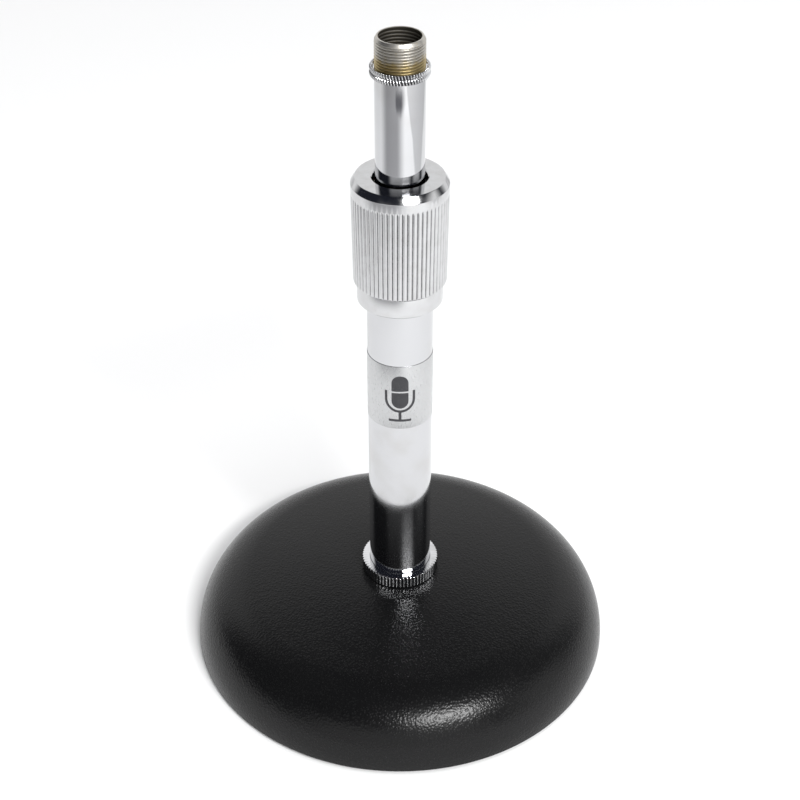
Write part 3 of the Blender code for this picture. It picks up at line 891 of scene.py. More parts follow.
@dataclass(frozen=True)
class Cut(Operation):
    """Cuts grooves into a turned surface, which is left alone where it already lies deeper."""

    CUT_INPUTS: ClassVar[tuple[TreeInput, ...]] = (
        TreeInput("Depth", "Float", "depth"),
        TreeInput("Low", "Float", "low"),
        TreeInput("High", "Float", "high"),
        TreeInput("Low Fade", "Float", "low_fade"),
        TreeInput("High Fade", "Float", "high_fade"),
        TreeInput("Low Crest", "Float", "low_crest"),
        TreeInput("High Crest", "Float", "high_crest"),
        TreeInput("Side", "Float", "side"),
    )
    depth: float = 0.0005
    low: float = 0.0
    high: float = 1.0
    low_fade: float = 1e-6
    high_fade: float = 1e-6
    low_crest: float = 0.01
    high_crest: float = 0.01
    inward: bool = True

    @property
    def side(self) -> float:
        """1 where the cut goes towards the axis, and -1 where it goes away from it."""
        return 1.0 if self.inward else -1.0

    def groove(self, bench: NodeBench, given: Node, angle: Socket, height: Socket) -> Socket:
        """Wires the groove's depth, from 0 on a crest to 1 at a root.

        Args:
            bench: the tree.
            given: its Group Input.
            angle: the point's angle round the axis.
            height: the point's height.

        Returns:
            The depth's socket.
        """
        raise NotImplementedError

    def crest(self, bench: NodeBench, given: Node, height: Socket, reach: Socket) -> Socket:
        """Wires how far from the axis the crests lie.

        Args:
            bench: the tree.
            given: its Group Input.
            height: the point's height.
            reach: its distance from the axis; not used by these plain crests.

        Returns:
            The crests' distance.
        """
        take = given.outputs
        ends = (take["Low"], take["High"], take["Low Crest"], take["High Crest"])
        return bench.ranged(height, *ends)

    def wire(self, bench: NodeBench, given: Node, shape: Socket) -> Socket:
        """Wires the cut: each point moves straight in or out to the groove's surface.

        Args:
            bench: the tree.
            given: its Group Input.
            shape: the geometry that comes in.

        Returns:
            The geometry that comes out.
        """
        take = given.outputs
        place = bench.add("GeometryNodeInputPosition").outputs[0]
        x, y, height = bench.add("ShaderNodeSeparateXYZ", {0: place}).outputs
        reach = bench.sum("SQRT", bench.sum("MULTIPLY_ADD", x, x, bench.sum("MULTIPLY", y, y)))
        angle = bench.sum("ARCTAN2", y, x)
        depth = self.groove(bench, given, angle, height)
        rise = bench.ranged(
            height, take["Low"], bench.sum("ADD", take["Low"], take["Low Fade"]), smooth=True
        )
        fall_start = bench.sum("SUBTRACT", take["High"], take["High Fade"])
        fall = bench.ranged(height, fall_start, take["High"], 1.0, 0.0, smooth=True)
        depth = bench.sum("MULTIPLY", depth, bench.sum("MULTIPLY", rise, fall))
        crest = self.crest(bench, given, height, reach)
        inside = bench.sum(
            "MULTIPLY",
            bench.sum("GREATER_THAN", height, take["Low"]),
            bench.sum("LESS_THAN", height, take["High"]),
        )
        lowered = bench.sum("MULTIPLY", bench.sum("MULTIPLY", depth, take["Depth"]), -1.0)
        surface = bench.sum("MULTIPLY_ADD", crest, take["Side"], lowered)
        surface = bench.sum("ADD", surface, bench.sum("SUBTRACT", 1.0, inside))
        kept = bench.sum("MINIMUM", bench.sum("MULTIPLY", reach, take["Side"]), surface)
        new_reach = bench.sum("MULTIPLY", kept, take["Side"])
        move = bench.sum("SUBTRACT", new_reach, reach)
        cut = bench.sum("DIVIDE", bench.sum("ABSOLUTE", move), take["Depth"], clamp=True)
        away = bench.sum("DIVIDE", move, bench.sum("MAXIMUM", reach, 1e-5))
        feeds = {0: bench.sum("MULTIPLY", x, away), 1: bench.sum("MULTIPLY", y, away)}
        offset = bench.add("ShaderNodeCombineXYZ", feeds).outputs[0]
        stored = bench.add(
            "GeometryNodeStoreNamedAttribute",
            {"Geometry": shape, "Name": GROOVE_ATTRIBUTE, "Value": cut},
            data_type="FLOAT",
            domain="POINT",
        ).outputs[0]
        feeds = {"Geometry": stored, "Offset": offset}
        return bench.add("GeometryNodeSetPosition", feeds).outputs[0]


@dataclass(frozen=True)
class KnurlCut(Cut):
    """Straight teeth all the way round."""

    TREE: ClassVar[str] = "cut_straight_knurl"
    INPUTS: ClassVar[tuple[TreeInput, ...]] = (
        TreeInput("Teeth", "Float", "teeth"),
        TreeInput("Narrowness", "Float", "narrowness"),
        TreeInput("Lean", "Float", "lean"),
        TreeInput("Core", "Float", "core"),
        *Cut.CUT_INPUTS,
    )
    teeth: int = 60
    narrowness: float = 0.7
    lean: float = 0.0
    core: float = 1.0

    def crest(self, bench: NodeBench, given: Node, height: Socket, reach: Socket) -> Socket:
        """Wires crests that follow the skin outside Core, and the stated ones within it.

        Args:
            bench: the tree.
            given: its Group Input.
            height: the point's height.
            reach: its distance from the axis.

        Returns:
            The crests' distance.
        """
        plain = super().crest(bench, given, height, reach)
        outside = bench.sum("GREATER_THAN", reach, given.outputs["Core"])
        feeds = {0: outside, 2: plain, 3: reach}
        return bench.add("ShaderNodeMix", feeds, data_type="FLOAT").outputs[0]

    def groove(self, bench: NodeBench, given: Node, angle: Socket, height: Socket) -> Socket:
        """Wires teeth that lean by Lean, and are narrower the larger Narrowness is.

        Args:
            bench: the tree.
            given: its Group Input.
            angle: the point's angle round the axis.
            height: the point's height.

        Returns:
            The depth's socket.
        """
        leant = bench.sum("MULTIPLY_ADD", height, given.outputs["Lean"], angle)
        swing = bench.sum("MULTIPLY", bench.sum("MULTIPLY", leant, given.outputs["Teeth"]), 0.5)
        wave = bench.sum("ABSOLUTE", bench.sum("COSINE", swing))
        tooth = bench.sum("POWER", wave, given.outputs["Narrowness"])
        return bench.sum("SUBTRACT", 1.0, tooth)


@dataclass(frozen=True)
class ThreadCut(Cut):
    """A right-hand thread with flat crests and roots."""

    TREE: ClassVar[str] = "cut_screw_thread"
    CREST_SHARE: ClassVar[float] = 0.14
    ROOT_START: ClassVar[float] = 0.90
    INPUTS: ClassVar[tuple[TreeInput, ...]] = (
        TreeInput("Pitch", "Float", "pitch"),
        *Cut.CUT_INPUTS,
    )
    pitch: float = 0.001

    def groove(self, bench: NodeBench, given: Node, angle: Socket, height: Socket) -> Socket:
        """Wires a groove that climbs by the pitch in each turn.

        Args:
            bench: the tree.
            given: its Group Input.
            angle: the point's angle round the axis.
            height: the point's height.

        Returns:
            The depth's socket.
        """
        turns = bench.sum("DIVIDE", angle, FULL_TURN)
        level = bench.sum("DIVIDE", height, given.outputs["Pitch"])
        phase = bench.sum("FRACT", bench.sum("SUBTRACT", level, turns))
        swing = bench.sum("ABSOLUTE", bench.sum("MULTIPLY_ADD", phase, 2.0, -1.0))
        return bench.ranged(swing, self.CREST_SHARE, self.ROOT_START)


@dataclass(frozen=True)
class CopyRound(Operation):
    """Sets copies of a piece on a circle round the Z axis."""

    TREE: ClassVar[str] = "copy_round"
    INPUTS: ClassVar[tuple[TreeInput, ...]] = (
        TreeInput("Count", "Int", "count"),
        TreeInput("Reach", "Float", "reach"),
        TreeInput("First Angle", "Float", "first_angle"),
    )
    count: int = 4
    reach: float = 0.06
    first_angle: float = math.pi / 4

    def wire(self, bench: NodeBench, given: Node, shape: Socket) -> Socket:
        """Wires a ring of points, and the piece on each.

        Args:
            bench: the tree.
            given: its Group Input.
            shape: the geometry that comes in.

        Returns:
            The geometry that comes out.
        """
        feeds = {"Vertices": given.outputs["Count"], "Radius": given.outputs["Reach"]}
        spots = bench.add("GeometryNodeMeshCircle", feeds).outputs[0]
        turn = bench.add("ShaderNodeCombineXYZ", {"Z": given.outputs["First Angle"]}).outputs[0]
        feeds = {"Geometry": spots, "Rotation": turn}
        spots = bench.add("GeometryNodeTransform", feeds).outputs[0]
        feeds = {"Points": spots, "Instance": shape}
        return bench.add("GeometryNodeInstanceOnPoints", feeds).outputs[0]


@dataclass(frozen=True)
class WrapRound(Operation):
    """Wraps a flat shape round a tube: X runs round it, Y stands off it, and Z stays upright."""

    TREE: ClassVar[str] = "wrap_round_tube"
    INPUTS: ClassVar[tuple[TreeInput, ...]] = (
        TreeInput("Radius", "Float", "radius"),
        TreeInput("Facing", "Float", "facing"),
    )
    radius: float = 0.011
    facing: float = FRONT

    def wire(self, bench: NodeBench, given: Node, shape: Socket) -> Socket:
        """Wires the wrap.

        Args:
            bench: the tree.
            given: its Group Input.
            shape: the geometry that comes in.

        Returns:
            The geometry that comes out.
        """
        place = bench.add("GeometryNodeInputPosition").outputs[0]
        x, y, z = bench.add("ShaderNodeSeparateXYZ", {0: place}).outputs
        radius = given.outputs["Radius"]
        angle = bench.sum("ADD", bench.sum("DIVIDE", x, radius), given.outputs["Facing"])
        reach = bench.sum("ADD", radius, y)
        across = bench.sum("MULTIPLY", reach, bench.sum("COSINE", angle))
        back = bench.sum("MULTIPLY", reach, bench.sum("SINE", angle))
        wrapped = bench.add("ShaderNodeCombineXYZ", {0: across, 1: back, 2: z}).outputs[0]
        feeds = {"Geometry": shape, "Position": wrapped}
        return bench.add("GeometryNodeSetPosition", feeds).outputs[0]


# ---- pieces ------------------------------------------------------------------------------------


def object_of(name: str, mesh: bpy.types.Mesh) -> bpy.types.Object:
    """Puts a mesh in the scene as an object at the origin.

    Args:
        name: the object's name.
        mesh: its mesh.

    Returns:
        The object.
    """
    made = bpy.data.objects.new(name, mesh)
    bpy.context.scene.collection.objects.link(made)
    return made


def settle(piece: bpy.types.Object, sharp_angle: Optional[float] = PLAIN_SHARP_ANGLE) -> None:
    """Turns a piece and its modifiers into one plain closed mesh that faces outwards.

    Args:
        piece: the object, whose modifiers are used up.
        sharp_angle: edges that turn by more stay sharp; None smooths them all.
    """
    graph = bpy.context.evaluated_depsgraph_get()
    mesh = bpy.data.meshes.new_from_object(piece.evaluated_get(graph))
    piece.modifiers.clear()
    piece.data = mesh
    mesh.name = piece.name
    bm = bmesh.new()
    bm.from_mesh(mesh)
    bmesh.ops.remove_doubles(bm, verts=bm.verts[:], dist=MERGE_DISTANCE)
    bmesh.ops.recalc_face_normals(bm, faces=bm.faces[:])
    if bm.calc_volume(signed=True) < 0:
        bmesh.ops.reverse_faces(bm, faces=bm.faces[:])
    bm.to_mesh(mesh)
    bm.free()
    mesh.shade_smooth()
    if sharp_angle is not None:
        mesh.set_sharp_from_angle(angle=sharp_angle)


def turned_piece(
    name: str,
    section: Sequence[Point],
    finish: Finish,
    turning: Turning = Turning(),
    cuts: Sequence[Operation] = (),
    closed: bool = True,
    sharp_angle: Optional[float] = PLAIN_SHARP_ANGLE,
) -> bpy.types.Object:
    """Turns a half section into a piece, and cuts its knurls and threads.

    Args:
        name: the piece's name.
        section: the half section, as distances from the axis and heights.
        finish: the finish that it gets.
        turning: how far round it goes and in how many steps.
        cuts: what is done to it after that, in order.
        closed: whether the half section's ends meet; if not, they lie on the axis.
        sharp_angle: edges that turn by more stay sharp.

    Returns:
        The piece, as a plain mesh.
    """
    count = len(section)
    edges = [(i, (i + 1) % count) for i in range(count if closed else count - 1)]
    mesh = bpy.data.meshes.new(name)
    mesh.from_pydata([(r - PATH_RADIUS, -z, 0.0) for r, z in section], edges, [])
    piece = object_of(name, mesh)
    material = finish.build()
    for operation in (turning, *cuts):
        operation.put_on(piece, material)
    settle(piece, sharp_angle)
    return piece


def hand_over(
    piece: bpy.types.Object, body: Body, nodes: Sequence[str]
) -> bpy.types.Object:
    """Puts a piece on the body that it rides on, and hides the CAD nodes that it stands for.

    Args:
        piece: the finished piece.
        body: the body that it moves with.
        nodes: the CAD nodes that it stands for.

    Returns:
        The same piece.
    """
    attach(piece, body.value)
    if nodes:
        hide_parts(*nodes)
    return piece


@dataclass
class WeightedBase:
    """The round cast base on its rubber feet, with the knurled ring that locks the column."""

    shoulder_height: float = 0.0260
    side_land: float = 0.0019
    dome_rise: float = 0.0036
    seat_drop: float = 0.0003
    rim_rounding: float = 0.0009
    top_wall: float = 0.0090
    rim_wall: float = 0.0097
    rim_draft: float = 0.0005
    cavity_fillet: float = 0.0140
    bore: float = 0.01141
    boss_wall: float = 0.0061
    boss_bottom: float = 0.0080
    gap: float = 0.0003
    foot_boss_wall: float = 0.0022
    foot_boss_taper: float = 0.0045
    recess_overrun: float = 0.002
    lock_ring_gap: float = 0.00006
    lock_teeth: int = 64
    lock_tooth_depth: float = 0.00045
    lock_narrowness: float = 1.25
    lock_row_spacing: float = 0.0005
    coating: LeatheryCoating = field(default_factory=LeatheryCoating)
    plating: KnurledPlating = field(default_factory=KnurledPlating)
    rubber: MouldedRubber = field(default_factory=MouldedRubber)

    def casting_section(self) -> list[Point]:
        """The casting's half section: rim, shoulder, dome, seat, bore, boss and cavity.

        Returns:
            The half section's points.
        """
        span = Span.of("base_casting")
        rounding = self.shoulder_height - self.side_land
        apex = self.shoulder_height + self.dome_rise
        shoulder = (span.radius - rounding, self.side_land)
        rise = apex - shoulder[1]
        dome_radius = (shoulder[0] ** 2 + rise**2 - rounding**2) / (2 * (rise - rounding))
        dome = (0.0, apex - dome_radius)
        meet = math.acos(shoulder[0] / (dome_radius - rounding))
        seat = math.asin((dome_radius - self.seat_drop) / dome_radius)
        seat_height = apex - self.seat_drop
        ceiling = seat_height - self.top_wall
        cavity = span.radius - self.rim_wall - self.rim_draft
        corner = (cavity - self.cavity_fillet, ceiling - self.cavity_fillet)
        boss = self.bore + self.boss_wall
        outside = arc(shoulder, rounding, 0.0, meet, 30)
        outside += arc(dome, dome_radius, meet, seat, 12)[1:]
        inside = arc(corner, self.cavity_fillet, math.pi / 2, 0.0, 12)
        rim = self.rim_rounding
        corners: list[Corner] = [(span.radius, span.low, rim)]
        corners += [(r, z, 0.0) for r, z in outside]
        corners += [
            (self.bore, seat_height, 0.0004),
            (self.bore, self.boss_bottom, 0.0005),
            (boss, self.boss_bottom, 0.0008),
            (boss, ceiling, 0.0020),
        ]
        corners += [(r, z, 0.0) for r, z in inside]
        corners += [(cavity + self.rim_draft, span.low, rim)]
        return rounded(corners)

    def cones(self, name: str, low: Point, high: Point) -> bpy.types.Object:
        """One helper with a cone over each foot's place.

        Args:
            name: the helper's name.
            low: each cone's radius and height at its lower end.
            high: its radius and height at its upper end.

        Returns:
            The helper, facing outwards.
        """
        section = [(0.0, low[1]), low, high, (0.0, high[1])]
        helper = turned_piece(name, section, self.coating, Turning(steps=72), closed=False)
        reach, angle = self.foot_place()
        CopyRound(4, reach, angle).put_on(helper, self.coating.build())
        settle(helper)
        return helper

    def foot_place(self) -> tuple[float, float]:
        """How far from the axis the first foot stands, and at what angle.

        Returns:
            The distance and the angle.
        """
        lo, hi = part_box("base_foot_1")
        centre = (lo + hi) / 2
        return math.hypot(centre.x, centre.y), math.atan2(centre.y, centre.x)

    def build_casting(self) -> bpy.types.Object:
        """The coated casting, with a boss and a recess for each foot.

        Returns:
            The finished piece.
        """
        turning = Turning(steps=288)
        casting = turned_piece("base_shell", self.casting_section(), self.coating, turning)
        lo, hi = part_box("base_foot_1")
        recess = (hi.x - lo.x) / 2 + self.gap
        boss = recess + self.foot_boss_wall
        floor = Span.of("base_casting").low
        top = Span.of("base_casting").high - self.top_wall + self.dome_rise / 6
        boss_top = (boss - self.foot_boss_taper, top)
        recess_top = (recess, hi.z + self.gap)
        bosses = self.cones("foot_bosses", (boss, floor), boss_top)
        recesses = self.cones("foot_recesses", (recess, floor - self.recess_overrun), recess_top)
        for helper, kind in ((bosses, "UNION"), (recesses, "DIFFERENCE")):
            modifier = casting.modifiers.new(helper.name, "BOOLEAN")
            modifier.operation = kind
            modifier.object = helper
            modifier.solver = "EXACT"
        settle(casting)
        for helper in (bosses, recesses):
            bpy.data.objects.remove(helper)
        return hand_over(casting, Body.STAND, ["base_casting"])

    def build_feet(self) -> bpy.types.Object:
        """The four rubber feet, each with a flat sole and a rounded edge.

        Returns:
            The finished piece.
        """
        lo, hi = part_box("base_foot_1")
        radius = (hi.x - lo.x) / 2
        corners: list[Corner] = [
            (0.0, lo.z, 0.0),
            (radius - 0.0014, lo.z, 0.0),
            (radius, lo.z, 0.0005),
            (radius, hi.z, 0.0003),
            (0.0, hi.z, 0.0),
        ]
        section = rounded(corners, closed=False)
        feet = turned_piece("base_feet", section, self.rubber, Turning(steps=96), closed=False)
        reach, angle = self.foot_place()
        CopyRound(4, reach, angle).put_on(feet, self.rubber.build())
        settle(feet)
        nodes = [f"base_foot_{number}" for number in range(1, 5)]
        return hand_over(feet, Body.STAND, nodes)

    def build_lock_ring(self) -> bpy.types.Object:
        """The knurled ring at the foot of the column.

        Returns:
            The finished piece.
        """
        span = Span.of("base_lock_ring")
        bore = Span.of("outer_tube").radius + self.lock_ring_gap
        corners: list[Corner] = [
            (bore, span.low, 0.0002),
            (span.radius, span.low, 0.0005),
            (span.radius, span.high, 0.0004),
            (bore, span.high, 0.0001),
        ]
        spacing = self.lock_row_spacing
        section = with_rows(rounded(corners, steps=8), span.low, span.high, spacing)
        knurl = KnurlCut(
            teeth=self.lock_teeth,
            narrowness=self.lock_narrowness,
            depth=self.lock_tooth_depth,
            low=span.low - PAST_END,
            high=span.high + PAST_END,
            low_crest=span.radius,
            high_crest=span.radius,
        )
        steps = Turning(steps=self.lock_teeth * STEPS_PER_TOOTH)
        ring = turned_piece("base_lock_ring_knurled", section, self.plating, steps, [knurl])
        return hand_over(ring, Body.STAND, ["base_lock_ring"])

    def build(self) -> list[bpy.types.Object]:
        """Builds the base's pieces."""
        return [self.build_casting(), self.build_feet(), self.build_lock_ring()]


@dataclass(frozen=True)
class MicrophoneSign:
    """A plain sign in solid ink: a capsule in a yoke, on a stem and a foot."""

    thickness: float = 0.00003
    rise: float = 0.0024
    half_width: float = 0.0029
    half_body: float = 0.0037
    capsule_gap: float = 0.00032
    capsule_chords: int = 24
    yoke_in: float = 0.0044
    yoke_out: float = 0.0053
    yoke_drop: float = 0.0030
    yoke_chords: int = 32
    arm_rise: float = 0.0034
    stem_half: float = 0.0005
    stem_length: float = 0.0029
    foot_half: float = 0.0039
    foot_height: float = 0.0009
    seam: float = 0.00002
    bar_step: float = 0.0003

    def strip(self, bm: bmesh.types.BMesh, first: Sequence[Point], second: Sequence[Point]) -> None:
        """Adds a solid strip of ink between two flat lines.

        Args:
            bm: the mesh that it goes into.
            first: the points of one side, as X and Z.
            second: the points of the other side, as many as in first.
        """
        levels = []
        for y in (-self.thickness, self.thickness):
            levels.append([[bm.verts.new((x, y, z)) for x, z in line] for line in (first, second)])
        (a, b), (c, d) = levels
        for i in range(len(first) - 1):
            bm.faces.new((a[i], a[i + 1], b[i + 1], b[i]))
            bm.faces.new((c[i], d[i], d[i + 1], c[i + 1]))
            bm.faces.new((a[i], c[i], c[i + 1], a[i + 1]))
            bm.faces.new((b[i], b[i + 1], d[i + 1], d[i]))
        for i in (0, -1):
            bm.faces.new((a[i], b[i], d[i], c[i]))

    def bar(self, bm: bmesh.types.BMesh, half: float, low: float, high: float) -> None:
        """Adds a solid upright bar of ink, half to each side and from low to high.

        Args:
            bm: the mesh that it goes into.
            half: half its width.
            low: its lower edge's height.
            high: its upper edge's height.
        """
        count = max(1, math.ceil(2 * half / self.bar_step))
        across = [-half + 2 * half * i / count for i in range(count + 1)]
        self.strip(bm, [(x, low) for x in across], [(x, high) for x in across])

    def draw(self, middle: float) -> bmesh.types.BMesh:
        """Draws the sign flat, in X and Z.

        Args:
            middle: the height of the label's middle.

        Returns:
            The sign's mesh.
        """
        bm = bmesh.new()
        head = middle + self.rise
        half = self.half_width
        # the capsule is two halves with a gap, so that the grille's edge shows
        cap = arc((0.0, head + self.half_body), half, 0.0, math.pi, self.capsule_chords)
        self.strip(bm, cap, [(x, head + self.capsule_gap) for x, _ in cap])
        cup = arc((0.0, head - self.half_body), half, 0.0, -math.pi, self.capsule_chords)
        self.strip(bm, cup, [(x, head - self.capsule_gap) for x, _ in cup])
        yoke = (0.0, head - self.yoke_drop)
        arms = []
        for radius in (self.yoke_in, self.yoke_out):
            under = arc(yoke, radius, math.pi, FULL_TURN, self.yoke_chords)
            top = yoke[1] + self.arm_rise
            arms.append([(-radius, top), *under, (radius, top)])
        self.strip(bm, *arms)
        stem_high = yoke[1] - self.yoke_out
        stem_low = stem_high - self.stem_length
        self.bar(bm, self.stem_half, stem_low, stem_high - self.seam)
        self.bar(bm, self.foot_half, stem_low - self.foot_height, stem_low - self.seam)
        return bm


@dataclass
class LowerColumn:
    """The plated lower tube, the foil label round it, and the rubber stop in its lower end."""

    wall: float = 0.00151
    end_rounding: float = 0.0004
    thread_pitch: float = 0.0015
    thread_depth: float = 0.0005
    thread_length: float = 0.0185
    rows_per_turn: int = 12
    label_wrap: float = math.radians(216)
    label_gap: float = 0.00003
    label_thickness: float = 0.00012
    ink_lift: float = 0.6
    sign: MicrophoneSign = MicrophoneSign()
    plating: BrightPlating = field(default_factory=BrightPlating)
    foil: BrushedFoil = field(default_factory=BrushedFoil)
    ink: LabelInk = field(default_factory=LabelInk)
    rubber: MouldedRubber = field(default_factory=MouldedRubber)

    def build_tube(self) -> bpy.types.Object:
        """The lower tube, with the thread that goes into the base.

        Returns:
            The finished piece.
        """
        span = Span.of("outer_tube")
        bore = span.radius - self.wall
        soft = self.end_rounding
        corners: list[Corner] = [
            (bore, span.low, soft),
            (span.radius - 0.0005, span.low, 0.0),
            (span.radius, span.low + 0.0005, 0.0),
            (span.radius, span.high, soft),
            (bore, span.high, soft),
        ]
        top = span.low + self.thread_length
        spacing = self.thread_pitch / self.rows_per_turn
        section = with_rows(rounded(corners), span.low, top, spacing)
        section = with_rows(section, top, span.high, TUBE_ROW_SPACING)
        thread = ThreadCut(
            pitch=self.thread_pitch,
            depth=self.thread_depth,
            low=span.low - PAST_END,
            high=top,
            high_fade=0.001,
            low_crest=span.radius,
            high_crest=span.radius,
        )
        tube = turned_piece("lower_tube", section, self.plating, Turning(steps=240), [thread])
        return hand_over(tube, Body.STAND, ["outer_tube"])

    def label_radius(self) -> float:
        """The radius of the label's printed side."""
        return Span.of("outer_tube").radius + self.label_gap + self.label_thickness

    def build_label(self) -> bpy.types.Object:
        """The foil label, centred on the front.

        Returns:
            The finished piece.
        """
        span = Span.of("tube_label")
        outer = self.label_radius()
        inner = outer - self.label_thickness
        soft = self.label_thickness * 0.4
        corners: list[Corner] = [
            (inner, span.low, soft),
            (outer, span.low, soft),
            (outer, span.high, soft),
            (inner, span.high, soft),
        ]
        turning = Turning(145, FRONT - self.label_wrap / 2, self.label_wrap)
        section = rounded(corners, steps=3)
        label = turned_piece("label_foil", section, self.foil, turning)
        return hand_over(label, Body.STAND, ["tube_label"])

    def build_print(self) -> bpy.types.Object:
        """A plain microphone sign, printed on the label.

        Returns:
            The finished piece.
        """
        span = Span.of("tube_label")
        bm = self.sign.draw((span.low + span.high) / 2)
        mesh = bpy.data.meshes.new("label_print")
        bm.to_mesh(mesh)
        bm.free()
        sign = object_of("label_print", mesh)
        radius = self.label_radius() + self.sign.thickness * self.ink_lift
        WrapRound(radius, FRONT).put_on(sign, self.ink.build())
        settle(sign)
        return hand_over(sign, Body.STAND, [])

    def build_bumper(self) -> bpy.types.Object:
        """The rubber stop inside the tube's lower end.

        Returns:
            The finished piece.
        """
        span = Span.of("tube_bumper")
        corners: list[Corner] = [
            (0.0, span.low, 0.0),
            (span.radius, span.low, 0.0006),
            (span.radius, span.high, 0.0006),
            (0.0, span.high, 0.0),
        ]
        section = rounded(corners, closed=False)
        bumper = turned_piece("tube_stop", section, self.rubber, Turning(steps=96), closed=False)
        return hand_over(bumper, Body.STAND, ["tube_bumper"])

    def build(self) -> list[bpy.types.Object]:
        """Builds the lower column's pieces."""
        return [self.build_tube(), self.build_label(), self.build_print(), self.build_bumper()]


